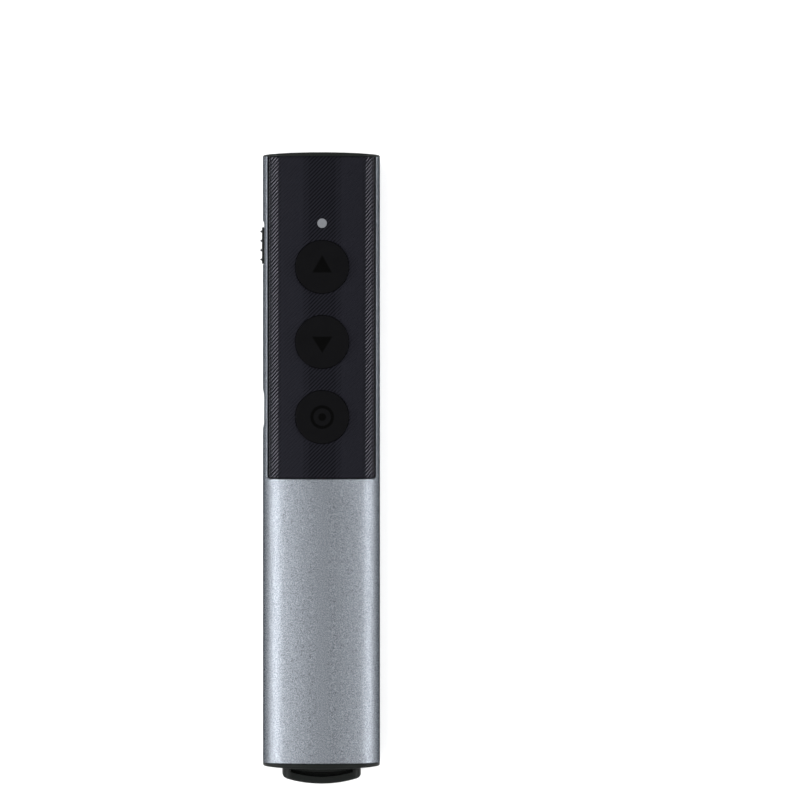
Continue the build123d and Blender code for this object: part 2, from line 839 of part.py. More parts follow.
with BuildPart() as receiver_bay:
    with BuildSketch(across(bay_front)):
        add(oval(chassis_skin))
    extrude(amount=bay_front - tail_y)
    with BuildSketch(across(tail_y)):
        with Locations((0, middle_z)):
            RectangleRounded(
                receiver_width + 2 * bay_gap, receiver_height + 2 * bay_gap, receiver_section_corner
            )
    extrude(amount=-(housing_depth + bay_gap), mode=Mode.SUBTRACT)
    with BuildSketch(across(tail_y)):
        with Locations((0, middle_z)):
            RectangleRounded(usb_width + 2 * bay_gap, usb_height + 2 * bay_gap, usb_corner)
    extrude(amount=-bay_depth, mode=Mode.SUBTRACT)
    with BuildSketch(across(tail_y)):
        with Locations((-peg_side, middle_z), (peg_side, middle_z)):
            Circle(peg_diameter / 2 + peg_gap)
    extrude(amount=-(peg_length + peg_gap), mode=Mode.SUBTRACT)
save(receiver_bay, "receiver_bay")

# ---------------------------------------------------------------- receiver

cap_end = tail_y - tail_cap_thickness
grip_end = cap_end - grip_reach
bar_inner = grip_end + grip_bar
slot_half = receiver_width / 2 - grip_side
shoulder_end = cap_end - shoulder_reach
cavity_end = tail_y

with BuildPart() as receiver_grip:
    with BuildSketch(Plane.XY.offset(middle_z - receiver_height / 2)):
        grip_half = receiver_width / 2
        with BuildLine():
            Polyline(
                (-grip_half, grip_end + grip_rise),
                (-grip_half, receiver_inner),
                (grip_half, receiver_inner),
                (grip_half, grip_end + grip_rise),
            )
            ThreePointArc(
                (grip_half, grip_end + grip_rise), (0, grip_end), (-grip_half, grip_end + grip_rise)
            )
        outline = make_face()
        fillet(outline.vertices().group_by(Axis.Y)[0], radius=grip_corner)
    extrude(amount=receiver_height)
    with BuildSketch(across(receiver_inner)):
        with Locations((0, middle_z)):
            RectangleRounded(receiver_width, receiver_height, receiver_section_corner)
    extrude(amount=receiver_inner - grip_end, mode=Mode.INTERSECT)
    # The thumb slot is cut from the front and from the back down to a thin web.
    pocket_depth = (receiver_height - grip_web) / 2
    for pocket_z in (middle_z + grip_web / 2, middle_z - grip_web / 2 - pocket_depth):
        with BuildSketch(Plane.XY.offset(pocket_z)):
            with BuildLine():
                ThreePointArc(
                    (-slot_half, shoulder_end + shoulder_rise),
                    (0, shoulder_end),
                    (slot_half, shoulder_end + shoulder_rise),
                )
                Line(
                    (slot_half, shoulder_end + shoulder_rise), (slot_half, bar_inner + bar_inner_rise)
                )
                ThreePointArc(
                    (slot_half, bar_inner + bar_inner_rise),
                    (0, bar_inner),
                    (-slot_half, bar_inner + bar_inner_rise),
                )
                Line(
                    (-slot_half, bar_inner + bar_inner_rise), (-slot_half, shoulder_end + shoulder_rise)
                )
            make_face()
        extrude(amount=pocket_depth, mode=Mode.SUBTRACT)
    # Inside: room for the board, and a mouth that holds the plug's shell.
    with BuildSketch(across(receiver_inner - usb_seat)):
        with Locations((0, middle_z)):
            RectangleRounded(
                receiver_width - 2 * housing_wall,
                receiver_height - 2 * housing_wall,
                receiver_section_corner - housing_wall,
            )
    extrude(amount=receiver_inner - usb_seat - cavity_end, mode=Mode.SUBTRACT)
    with BuildSketch(across(receiver_inner)):
        with Locations((0, middle_z)):
            RectangleRounded(usb_width + 2 * usb_fit, usb_height + 2 * usb_fit, usb_corner)
    extrude(amount=usb_seat, mode=Mode.SUBTRACT)
save(receiver_grip, "receiver_grip")

with BuildPart() as receiver_plug_shell:
    with BuildSketch(across(usb_tip)):
        with Locations((0, middle_z)):
            RectangleRounded(usb_width, usb_height, usb_corner)
            Rectangle(usb_width - 2 * usb_shell, usb_height - 2 * usb_shell, mode=Mode.SUBTRACT)
    extrude(amount=usb_length + usb_seat)
    # Two latch holes in the front face and two in the back one, for a port's springs.
    with BuildSketch(Plane.XY.offset(middle_z - usb_height / 2)):
        with Locations((0, usb_tip - latch_from_tip)):
            with GridLocations(latch_spacing, 0, 2, 1):
                Rectangle(latch_hole, latch_hole)
    extrude(amount=usb_height, mode=Mode.SUBTRACT)
save(receiver_plug_shell, "receiver_plug_shell")

tongue_top = middle_z - usb_height / 2 + usb_shell + usb_tongue_height
with BuildPart() as receiver_tongue:
    with BuildSketch(across(usb_tip - usb_tongue_recess)):
        with Locations((0, tongue_top)):
            Rectangle(
                usb_width - 2 * (usb_shell + usb_fit), usb_tongue_height, align=(Align.CENTER, Align.MAX)
            )
    extrude(amount=usb_length + usb_seat - usb_tongue_recess)
save(receiver_tongue, "receiver_tongue")

with BuildPart() as receiver_contacts:
    with BuildSketch(Plane.XY.offset(tongue_top)):
        with Locations((0, usb_tip - 2 * usb_tongue_recess - contact_length / 2)):
            with GridLocations(contact_pitch, 0, contact_count, 1):
                Rectangle(contact_width, contact_length)
    extrude(amount=contact_thickness)
save(receiver_contacts, "receiver_contacts")

with BuildPart() as receiver_board:
    receiver_board_front = receiver_inner - usb_seat - receiver_board_gap
    with BuildSketch(Plane.XY.offset(middle_z - receiver_height / 2 + housing_wall)):
        with Locations((0, (receiver_board_front + cavity_end + receiver_board_gap) / 2)):
            Rectangle(
                receiver_width - 2 * receiver_section_corner,
                receiver_board_front - cavity_end - receiver_board_gap,
            )
    extrude(amount=receiver_board_thickness)
save(receiver_board, "receiver_board")

with BuildPart() as receiver_chip:
    chip_length, chip_width, chip_height = receiver_chip_size
    receiver_board_top = middle_z - receiver_height / 2 + housing_wall + receiver_board_thickness
    with BuildSketch(Plane.XY.offset(receiver_board_top)):
        with Locations((0, (receiver_board_front + cavity_end + receiver_board_gap) / 2)):
            Rectangle(chip_width, chip_length)
    extrude(amount=chip_height)
save(receiver_chip, "receiver_chip")
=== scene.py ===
"""Looks of a wireless presentation clicker: fine surfaces, finishes, floor, light and camera.

Shapes are worked out in millimetres and turned to metres when a mesh is made. The clicker
lies on its back: +Z comes out of the key face, +Y points to the laser nose, +X to the right.
"""

import logging
import math
from dataclasses import dataclass, field
from enum import Enum

import bpy
import bmesh
import numpy as np
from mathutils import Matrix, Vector


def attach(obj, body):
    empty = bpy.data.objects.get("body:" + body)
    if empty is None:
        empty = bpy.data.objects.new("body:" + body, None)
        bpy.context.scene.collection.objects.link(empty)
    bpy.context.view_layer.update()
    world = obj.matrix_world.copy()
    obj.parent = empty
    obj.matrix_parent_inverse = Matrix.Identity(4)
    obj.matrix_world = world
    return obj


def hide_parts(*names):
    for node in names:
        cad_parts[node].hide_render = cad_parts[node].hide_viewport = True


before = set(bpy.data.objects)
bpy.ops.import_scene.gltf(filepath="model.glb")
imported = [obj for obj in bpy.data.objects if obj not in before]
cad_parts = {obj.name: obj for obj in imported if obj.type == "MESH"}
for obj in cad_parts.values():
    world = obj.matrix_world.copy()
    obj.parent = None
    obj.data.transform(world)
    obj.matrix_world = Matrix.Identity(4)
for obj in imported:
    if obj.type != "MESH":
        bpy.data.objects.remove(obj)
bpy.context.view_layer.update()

Array = np.ndarray
MM = 0.001
LOG = logging.getLogger("clicker")

# ---------- Blender helpers


def linear(code: str) -> tuple[float, float, float, float]:
    """Turns an sRGB hex colour into linear RGBA.

    Args:
        code: Six hex digits with a leading hash.

    Returns:
        The linear red, green and blue, and an alpha of 1.
    """
    parts = np.array([int(code[i : i + 2], 16) for i in (1, 3, 5)]) / 255.0
    lin = np.where(parts <= 0.04045, parts / 12.92, ((parts + 0.055) / 1.055) ** 2.4)
    return (*(float(v) for v in lin), 1.0)


def add_node(
    tree: bpy.types.NodeTree, kind: str, links: dict = None, sockets: dict = None, **settings
) -> bpy.types.Node:
    """Adds one node, sets its properties and sockets, and links its inputs.

    Args:
        tree: The node tree.
        kind: The node's type name.
        links: Input socket name or index to the output socket that feeds it.
        sockets: Input socket name or index to its value.
        settings: Properties by name.

    Returns:
        The new node.
    """
    node = tree.nodes.new(kind)
    for name, value in settings.items():
        setattr(node, name, value)
    for name, value in (sockets or {}).items():
        node.inputs[name].default_value = value
    for name, output in (links or {}).items():
        tree.links.new(output, node.inputs[name])
    return node


def bare_material(name: str) -> tuple[bpy.types.Material, bpy.types.NodeTree]:
    """Makes a material without nodes.

    Args:
        name: The material's name.

    Returns:
        The material and its empty tree.
    """
    made = bpy.data.materials.new(name)
    made.use_nodes = True
    made.node_tree.nodes.clear()
    return made, made.node_tree


def new_object(name: str, data: bpy.types.ID) -> bpy.types.Object:
    """Makes an object at the origin and links it to the scene.

    Args:
        name: The object's name.
        data: Its mesh, lamp or camera.

    Returns:
        The new object.
    """
    made = bpy.data.objects.new(name, data)
    bpy.context.scene.collection.objects.link(made)
    return made


# ---------- finishes


@dataclass(frozen=True)
class Finish:
    """A surface finish: a Principled shader with a fine mottle in its colour and a grain bump.

    The mottle mixes two close colours by noise of mottle_mm, and the grain lifts the surface
    by grain_height_mm with noise of grain_mm. Both read Object coordinates, stretched by
    stretch. The edge tint colours a plastic's glints; on a metal a black edge tint darkens
    the low-angle rim, which is painted shade.
    """

    name: str
    colour: str
    tone: str
    mottle_mm: float = 3.0
    mottle_spread: float = 0.5
    grain_mm: float = 0.2
    grain_height_mm: float = 0.01
    grain_strength: float = 0.3
    roughness: float = 0.5
    roughness_swing: float = 0.06
    metallic: float = 0.0
    ior: float = 1.5
    specular: float = 0.5
    transmission: float = 0.0
    edge_tint: str = "#ffffff"
    coat: float = 0.0
    glow: float = 0.0
    stretch: tuple[float, float, float] = (1.0, 1.0, 1.0)

    def material(self) -> bpy.types.Material:
        """Makes the material, or returns it if it's there already.

        Returns:
            The material.
        """
        ready = bpy.data.materials.get(self.name)
        if ready:
            return ready
        made, tree = bare_material(self.name)
        place = add_node(tree, "ShaderNodeTexCoord").outputs["Object"]
        turned = add_node(tree, "ShaderNodeMapping", {"Vector": place}, {"Scale": self.stretch})
        mottle, grain = (
            add_node(
                tree, "ShaderNodeTexNoise", {"Vector": turned.outputs["Vector"]},
                {"Scale": 1 / (size * MM), "Detail": detail, "Roughness": rough},
            ).outputs["Fac"]
            for size, detail, rough in ((self.mottle_mm, 3.0, 0.6), (self.grain_mm, 2.0, 0.65))
        )
        spots = add_node(
            tree, "ShaderNodeMapRange", {"Value": mottle},
            {"From Min": 0.5 - self.mottle_spread, "From Max": 0.5 + self.mottle_spread},
        )
        # A colour mix takes its two colours at the sockets 6 and 7.
        blend = add_node(
            tree, "ShaderNodeMix", {0: spots.outputs["Result"]},
            {6: linear(self.colour), 7: linear(self.tone)}, data_type="RGBA",
        )
        least = max(0.02, self.roughness - self.roughness_swing)
        most = self.roughness + self.roughness_swing
        roughness = add_node(
            tree, "ShaderNodeMapRange", {"Value": grain},
            {"From Min": 0.3, "From Max": 0.7, "To Min": least, "To Max": most},
        )
        bump = add_node(
            tree, "ShaderNodeBump", {"Height": grain},
            {"Strength": self.grain_strength, "Distance": self.grain_height_mm * MM},
        )
        shader = add_node(
            tree,
            "ShaderNodeBsdfPrincipled",
            {
                "Base Color": blend.outputs[2],
                "Roughness": roughness.outputs["Result"],
                "Normal": bump.outputs["Normal"],
            },
            {
                "Metallic": self.metallic,
                "IOR": self.ior,
                "Specular IOR Level": self.specular,
                "Specular Tint": linear(self.edge_tint),
                "Transmission Weight": self.transmission,
                "Coat Weight": self.coat,
                "Emission Color": linear(self.colour),
                "Emission Strength": self.glow,
            },
        )
        add_node(tree, "ShaderNodeOutputMaterial", {"Surface": shader.outputs["BSDF"]})
        return made


# What every matt surface from a spark-eroded mould shares.
MATT_MOULD = {"grain_mm": 0.12, "grain_height_mm": 0.006, "roughness": 0.6}


class Finishes(Enum):
    """Every finish on the clicker, named for its real material and how its surface was made, or
    for painted shade.
    """

    # Bead-blasted and anodised aluminium: a satin grey-blue sheen, with a sparkle from the
    # blasting. The real grit is 0.05 mm; it's drawn at 0.2 mm so that it shows.
    # Its black edge tint darkens the tube's low-angle rim: painted shade.
    BLASTED_ALUMINIUM = Finish(
        "blasted_anodised_aluminium", "#4c4f54", "#83888e", mottle_mm=0.2, mottle_spread=0.14,
        grain_mm=0.2, grain_height_mm=0.08, grain_strength=1.0, roughness=0.36,
        roughness_swing=0.07, metallic=1.0, edge_tint="#000000",
    )
    # The window's rim is cut after anodising: bare bright aluminium with fine cutter lines.
    # Its black edge tint darkens the rim at low angles: painted shade.
    CUT_ALUMINIUM = Finish(
        "diamond_cut_aluminium", "#51555a", "#5d6065", mottle_mm=1.0, grain_mm=0.1,
        grain_height_mm=0.002, roughness=0.3, roughness_swing=0.05, metallic=1.0,
        edge_tint="#000000", stretch=(1.0, 0.05, 1.0),
    )
    # Moulded polycarbonate blend, polished on the crests of the side bands: cool glints.
    RIBBED_POLYCARBONATE = Finish(
        "moulded_black_polycarbonate", "#08080d", "#0a0a0f", mottle_mm=5.0, grain_mm=0.12,
        grain_height_mm=0.004, roughness=0.17, roughness_swing=0.03, specular=0.225,
        edge_tint="#f0eeff",
    )
    # The grooves between the ribs keep the mould's matt spark texture, and are painted darker
    # than the etched crests, nearly without reflection: painted shade in the grooves.
    PAINTED_SHADE_GROOVE_POLYCARBONATE = Finish(
        "groove_painted_shade_polycarbonate", "#07070a", "#09090c", mottle_mm=5.0, specular=0.01,
        **MATT_MOULD,
    )
    # Away from the side bands the crests are etched matt.
    ETCHED_POLYCARBONATE = Finish(
        "etched_black_polycarbonate", "#101015", "#121217", mottle_mm=5.0, specular=0.03,
        **MATT_MOULD,
    )
    # Keys: matt black ABS.
    MATTE_ABS = Finish(
        "spark_eroded_black_abs", "#040405", "#070708", mottle_mm=2.5, specular=0.025,
        **MATT_MOULD,
    )
    # Signs: pad-printed ink, darker than the key.
    PRINTED_INK = Finish(
        "pad_printed_black_ink", "#020202", "#030303", mottle_mm=1.5, grain_mm=0.1,
        grain_height_mm=0.002, roughness=0.45, specular=0.014,
    )
    # End caps, grip and slider: moulded black ABS with a fine texture.
    MOULDED_ABS = Finish(
        "moulded_black_abs", "#0d0f0e", "#111312", mottle_mm=4.0, grain_mm=0.15,
        grain_height_mm=0.006, roughness=0.42, specular=0.07,
    )
    # Inner tray: untextured black ABS.
    TRAY_ABS = Finish("moulded_tray_abs", "#202122", "#262728", mottle_mm=6.0)
    # Light pipe: milky acrylic.
    MILKY_ACRYLIC = Finish(
        "milky_acrylic", "#54565a", "#616367", mottle_mm=1.2, roughness=0.35, ior=1.49,
        transmission=0.15,
    )
    # Laser window: clear red acrylic.
    RED_ACRYLIC = Finish(
        "red_acrylic", "#7a1015", "#8c141a", mottle_mm=2.0, roughness=0.08, ior=1.49,
        transmission=0.6,
    )
    # Laser barrel: brass with turning marks round its axis.
    TURNED_BRASS = Finish(
        "turned_brass", "#b79a5a", "#c4a869", mottle_mm=1.5, grain_mm=0.1, roughness=0.28,
        metallic=1.0, stretch=(1.0, 6.0, 1.0),
    )
    # Laser lens: clear acrylic.
    MOULDED_LENS = Finish(
        "moulded_acrylic_lens", "#e8ecef", "#f2f4f6", mottle_mm=2.0, roughness=0.05, ior=1.49,
        transmission=0.9,
    )
    # Nickel-plated steel, drawn lengthwise: plug shells, screws, cans and the laser's case.
    DRAWN_STEEL = Finish(
        "nickel_plated_steel", "#8f9091", "#9c9d9d", mottle_mm=2.0, grain_mm=0.15,
        roughness=0.24, metallic=1.0, stretch=(3.0, 0.6, 3.0),
    )
    # Red PVC on the leads: its own red, darkened as painted shade for where the leads show
    # deep in the gap behind the panel's rear edge.
    PAINTED_SHADE_LEAD_PVC = Finish("red_pvc_painted_shade", "#4a1210", "#561614", mottle_mm=2.0)
    # Solder mask over glass-fibre board.
    SOLDER_MASK = Finish(
        "green_solder_mask", "#1d4a30", "#245739", mottle_mm=1.2, grain_mm=0.3, roughness=0.35,
        coat=0.3,
    )
    # Moulded epoxy of the chips and of the switches' plungers.
    CHIP_EPOXY = Finish("moulded_chip_epoxy", "#1c1d1f", "#242527", mottle_mm=0.8, roughness=0.55)
    # Fired ceramic of the antenna and the capacitors.
    CHIP_CERAMIC = Finish("fired_ceramic", "#9a8f7c", "#a99e8b", mottle_mm=0.6)
    # Silicone over the indicator's lamp.
    LAMP_WHITE = Finish(
        "lamp_silicone", "#e6e6e0", "#f2f1ea", mottle_mm=0.8, roughness=0.3, glow=0.15
    )
    # Closed-cell foam of the cell's pad.
    FOAM = Finish(
        "closed_cell_foam", "#3a3b3d", "#47484a", mottle_mm=0.7, grain_mm=0.3,
        grain_height_mm=0.08, roughness=0.9,
    )
    # Aluminium-laminate foil of the pouch cell.
    CELL_FOIL = Finish(
        "laminated_cell_foil", "#a7a9ac", "#b8babc", mottle_mm=4.0, grain_mm=0.8, roughness=0.3,
        metallic=0.8,
    )
    # Natural nylon of the connectors.
    CONNECTOR_NYLON = Finish("moulded_nylon", "#d8d4c8", "#e2dfd4", mottle_mm=2.0, roughness=0.45)
    # Gold over nickel on the plug's contacts.
    GOLD_PLATE = Finish(
        "gold_plated_contact", "#d1a64a", "#dcb45c", mottle_mm=1.0, roughness=0.22, metallic=1.0
    )


# ---------- meshes and curves


def quarter(steps: int) -> Array:
    """Angles from 0 to a right angle in equal steps, both ends included."""
    return np.linspace(0, math.pi / 2, steps + 1)


def quarter_round(radius: float, steps: int) -> Array:
    """Rows of radius * (1 - sin a) and radius * (1 - cos a) at the angles of a quarter."""
    return radius * (1 - stacked(np.sin(quarter(steps)), np.cos(quarter(steps))))


def stacked(*values: Array) -> Array:
    """Stacks values, each spread to a common shape, along a last axis."""
    return np.stack(np.broadcast_arrays(*values), axis=-1).astype(float)


def edge_fall(gap: Array, edge: Array) -> Array:
    """Fall of a quarter round, gap inside its outline: edge - sqrt(edge^2 - (edge - gap)^2)."""
    over = edge - np.clip(gap, 0, edge)
    return edge - np.sqrt(np.clip(edge**2 - over**2, 0, None))


def bow(x: Array, half: float, rise: float) -> Array:
    """Sag r - sqrt(r^2 - x^2) of an arc that sags by rise at half: 2 r rise = half^2 + rise^2."""
    radius = (half**2 + rise**2) / (2 * rise)
    return radius - np.sqrt(radius**2 - x**2)


def bend(start: Array, corner: Array, end: Array, steps: int) -> Array:
    """A quadratic curve from start to end: (1-t)^2 start + 2 t (1-t) corner + t^2 end."""
    t = np.linspace(0, 1, steps + 1)[:, None]
    return (1 - t) ** 2 * start + 2 * t * (1 - t) * corner + t**2 * end


def cyclic_pairs(count: int, closed: bool) -> Array:
    """Pairs of neighbours 0-1, 1-2 and so on, with the last back to the first if closed."""
    first = np.arange(count if closed else count - 1)
    return np.stack([first, (first + 1) % count], axis=1)


@dataclass
class Draft:
    """Vertices and faces of one piece while it's put together, in millimetres."""

    points: list = field(default_factory=list)
    faces: list = field(default_factory=list)
    tags: list = field(default_factory=list)
    count: int = 0

    def add(self, points: Array, faces: Array, tag: int | Array) -> None:
        """Adds points and faces.

        Args:
            points: Rows of XYZ.
            faces: Rows of four indices that count from the first of these points.
            tag: The material's index, for all the faces or for each.
        """
        self.points.append(points)
        self.faces.append(faces + self.count)
        self.tags.append(np.full(len(faces), tag))
        self.count += len(points)

    def patch(
        self, grid: Array | list, close_rows: bool = False, close_columns: bool = False,
        keep: Array = None, tag: int = 0,
    ) -> None:
        """Adds a grid of points as quads.

        Args:
            grid: Rows by columns by XYZ, or a list of the rows.
            close_rows: Joins the last row to the first.
            close_columns: Joins the last column to the first.
            keep: Mask of the cells to keep, rows by columns of cells.
            tag: The material's index.
        """
        grid = np.asarray(grid)
        rows, columns = grid.shape[:2]
        index = np.arange(rows * columns).reshape(rows, columns)
        r, c = cyclic_pairs(rows, close_rows), cyclic_pairs(columns, close_columns)
        corners = ((0, 0), (0, 1), (1, 1), (1, 0))
        quads = np.stack([index[r[:, i]][:, c[:, j]] for i, j in corners], axis=-1)
        if keep is not None:
            quads = quads[keep]
        self.add(grid.reshape(-1, 3), quads.reshape(-1, 4), tag)

    def triangles(self, points: Array, triangles: Array, tag: int | Array = 0) -> None:
        """Adds loose triangles, given as rows of three indices, with a tag for all or each."""
        self.add(points, np.column_stack([triangles, triangles[:, 2]]), tag)

    def piece(
        self, name: str, body: str, finishes: list, replaces: list = (),
        sharp: float = 35.0, weld: float = 0.0004,
    ) -> bpy.types.Object:
        """Welds the draft, makes the mesh and hangs it on its body.

        Points that round to the same place become one vertex, and faces that lose their area
        by that are dropped. Normals are then turned outwards.

        Args:
            name: The piece's name.
            body: The CAD body it rides on.
            finishes: One finish for each tag.
            replaces: CAD nodes that it stands for.
            sharp: Edges steeper than this many degrees stay sharp.
            weld: Grid of the weld in millimetres.

        Returns:
            The new object.
        """
        points = np.concatenate(self.points)
        keys = np.round(points / weld).astype(np.int64)
        _, first, back = np.unique(keys, axis=0, return_index=True, return_inverse=True)
        quads = back.reshape(-1)[np.concatenate(self.faces)]
        apart = quads != np.roll(quads, 1, axis=1)
        whole = (apart.sum(axis=1) > 2) & (quads[:, :2] != quads[:, 2:]).all(axis=1)
        quads, apart = quads[whole], apart[whole]
        polygons = np.split(quads[apart], np.cumsum(apart.sum(axis=1))[:-1])
        mesh = bpy.data.meshes.new(name)
        mesh.from_pydata(points[first] * MM, [], [ring.tolist() for ring in polygons])
        mesh.polygons.foreach_set("material_index", np.concatenate(self.tags)[whole])
        work = bmesh.new()
        work.from_mesh(mesh)
        bmesh.ops.recalc_face_normals(work, faces=work.faces)
        work.to_mesh(mesh)
        work.free()
        mesh.shade_smooth()
        mesh.set_sharp_from_angle(angle=math.radians(sharp))
        made = new_object(name, mesh)
        for finish in finishes:
            mesh.materials.append(finish.value.material())
        if replaces:
            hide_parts(*replaces)
        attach(made, body)
        LOG.info("%s: %d faces on %s", name, len(polygons), body)
        return made


@dataclass(frozen=True)
class RoundedBox:
    """A rectangle with rounded corners, as a closed outline."""

    half_width: float
    half_height: float
    corner: float

    def grown(self, by: float) -> "RoundedBox":
        """The same outline moved outwards by a distance."""
        return RoundedBox(self.half_width + by, self.half_height + by, self.corner + by)

    def outline(self, steps: int = 24) -> Array:
        """The outline counterclockwise from its lower right corner, as rows of two values.

        Each corner is a quarter circle about a centre drawn in by the corner's radius.

        Args:
            steps: Steps round each corner.

        Returns:
            Rows of two values.
        """
        across, up = self.half_width - self.corner, self.half_height - self.corner
        arcs = []
        for k, (sx, sy) in enumerate(((1, -1), (1, 1), (-1, 1), (-1, -1))):
            angle = quarter(steps) + (k - 1) * math.pi / 2
            x, y = self.corner * np.cos(angle), self.corner * np.sin(angle)
            arcs.append(stacked(sx * across + x, sy * up + y))
        return np.concatenate(arcs)


def reach_at(outline: Array, angles: Array) -> Array:
    """How far an outline lies from its origin in each direction.

    The outline is star-shaped about the origin. Between its points the radius follows the
    straight edge: cross(a, b) / cross(direction, b - a).

    Args:
        outline: Rows of two values.
        angles: Directions in radians.

    Returns:
        The radius in each direction.
    """
    angle = np.unwrap(np.arctan2(outline[:, 1], outline[:, 0]))
    if angle[-1] < angle[0]:
        outline, angle = outline[::-1], angle[::-1]
    angle, at = np.unique(angle, return_index=True)
    outline = outline[at]
    outline = np.concatenate([outline, outline[:1]])
    angle = np.append(angle, angle[0] + 2 * math.pi)
    wrapped = (angles - angle[0]) % (2 * math.pi) + angle[0]
    k = np.clip(np.searchsorted(angle, wrapped, side="right") - 1, 0, len(angle) - 2)
    a, b = outline[k], outline[k + 1]
    cross = a[:, 0] * b[:, 1] - a[:, 1] * b[:, 0]
    turn = np.cos(wrapped) * (b - a)[:, 1] - np.sin(wrapped) * (b - a)[:, 0]
    return cross / turn


# ---------- the skin's section


@dataclass(frozen=True)
class Oval:
    """The clicker's cross-section: a flat back, an arc at each side and a crown arc in front.

    It's read by arc length s, from the crown's middle towards +X and round to 2 * half. The
    width is 0.01 mm under the solid's, whose sides are flat facets that cut its arcs.
    """

    width: float = 27.49
    thickness: float = 13.0
    crown_rise: float = 1.0

    @property
    def side_radius(self) -> float:
        """Radius of the side arcs."""
        return (self.thickness - self.crown_rise) / 2

    @property
    def side_x(self) -> float:
        """Distance of a side arc's centre from the middle."""
        return self.width / 2 - self.side_radius

    @property
    def crown_radius(self) -> float:
        """Radius of the crown arc, which touches both side arcs."""
        gap = self.thickness - self.side_radius
        return (self.side_x**2 + gap**2 - self.side_radius**2) / (2 * self.crown_rise)

    @property
    def crown_z(self) -> float:
        """Height of the crown arc's centre."""
        return self.thickness - self.crown_radius

    @property
    def lean(self) -> float:
        """Angle at which the crown arc meets a side arc, in radians from the vertical."""
        return math.asin(self.side_x / (self.crown_radius - self.side_radius))

    @property
    def crown_half(self) -> float:
        """Arc length of half the crown."""
        return self.crown_radius * self.lean

    @property
    def half(self) -> float:
        """Arc length of half the section."""
        return self.crown_half + self.side_radius * (math.pi - self.lean) + self.side_x

    def at(self, s: Array, inset: float = 0.0) -> tuple[Array, ...]:
        """Points and normals of the section at arc lengths s.

        On the crown the normal leans by s / crown_radius, on a side arc by lean plus the rest
        over side_radius, and on the back it points down. The point is the arc's centre plus
        the radius less the inset along the normal.

        Args:
            s: Arc lengths from 0 to 2 * half.
            inset: How far the section is drawn in.

        Returns:
            X, Z, and the normal's X and Z.
        """
        mirrored = s > self.half
        t = np.where(mirrored, 2 * self.half - s, s)
        crown = t < self.crown_half
        past_lean = self.lean + (t - self.crown_half) / self.side_radius
        tilt = np.where(crown, t / self.crown_radius, np.minimum(past_lean, math.pi))
        nx, nz = np.sin(tilt), np.cos(tilt)
        radius = np.where(crown, self.crown_radius, self.side_radius) - inset
        on_back = t > self.half - self.side_x
        cx = np.where(crown, 0.0, np.where(on_back, self.half - t, self.side_x))
        cz = np.where(crown, self.crown_z, self.side_radius)
        x, z = cx + radius * nx, cz + radius * nz
        flip = np.where(mirrored, -1.0, 1.0)
        return flip * x, z, flip * nx, nz

    def length_to(self, x: Array, inset: float = 0.0) -> Array:
        """Arc length, from the crown's middle, to the front skin.

        Args:
            x: Distances of 0 or more from the middle.
            inset: How far the skin is drawn in.

        Returns:
            The arc lengths on the outer skin.
        """
        on_crown = x < (self.crown_radius - inset) * math.sin(self.lean)
        crown = self.crown_radius * np.arcsin(np.clip(x / (self.crown_radius - inset), -1, 1))
        tilt = np.arcsin(np.clip((x - self.side_x) / (self.side_radius - inset), -1, 1))
        side = self.crown_half + self.side_radius * (tilt - self.lean)
        return np.where(on_crown, crown, side)

    def skin(self, s: Array, y: Array, inset: float = 0.0) -> Array:
        """XYZ of the section at arc lengths s and at y, drawn in by inset."""
        x, z, _, _ = self.at(s, inset)
        return stacked(x, y, z)

    def front(self, x: Array, inset: float = 0.0) -> Array:
        """Height of the front skin at x, drawn in by inset."""
        return self.at(self.length_to(np.abs(x), inset), inset)[1]

    def side(self, z: Array, inset: float = 0.0) -> Array:
        """Half the width at height z, drawn in by inset."""
        over = (self.side_radius - inset) ** 2 - (z - self.side_radius) ** 2
        return self.side_x + np.sqrt(np.clip(over, 0, None))


OVAL = Oval()
NOSE_Y = 71.05
TAIL_Y = -71.05
MIDDLE_Z = 6.5
WINDOW_HALF = 12.5
WINDOW_REAR = -4.3
WINDOW_CORNER = 0.6
KEY_Y = {"up": 45.2, "down": 27.65, "laser": 10.1}
PIPE_Y = 55.4


# ---------- the tube


@dataclass(frozen=True)
class SideOpening:
    """An opening cut straight through the left side."""

    middle_y: float
    middle_z: float
    shape: RoundedBox
    edge: float = 0.1

    def points(self, border: Array, grow: float) -> Array:
        """Y and Z on the outline, grown by grow, in line with a border round it.

        Args:
            border: Rows of XYZ.
            grow: How far the outline is moved outwards.

        Returns:
            Rows of Y and Z.
        """
        around = border[:, 1:] - [self.middle_y, self.middle_z]
        angles = np.arctan2(around[:, 1], around[:, 0])
        reach = reach_at(self.shape.grown(grow).outline(), angles)
        return stacked(
            self.middle_y + reach * np.cos(angles), self.middle_z + reach * np.sin(angles)
        )


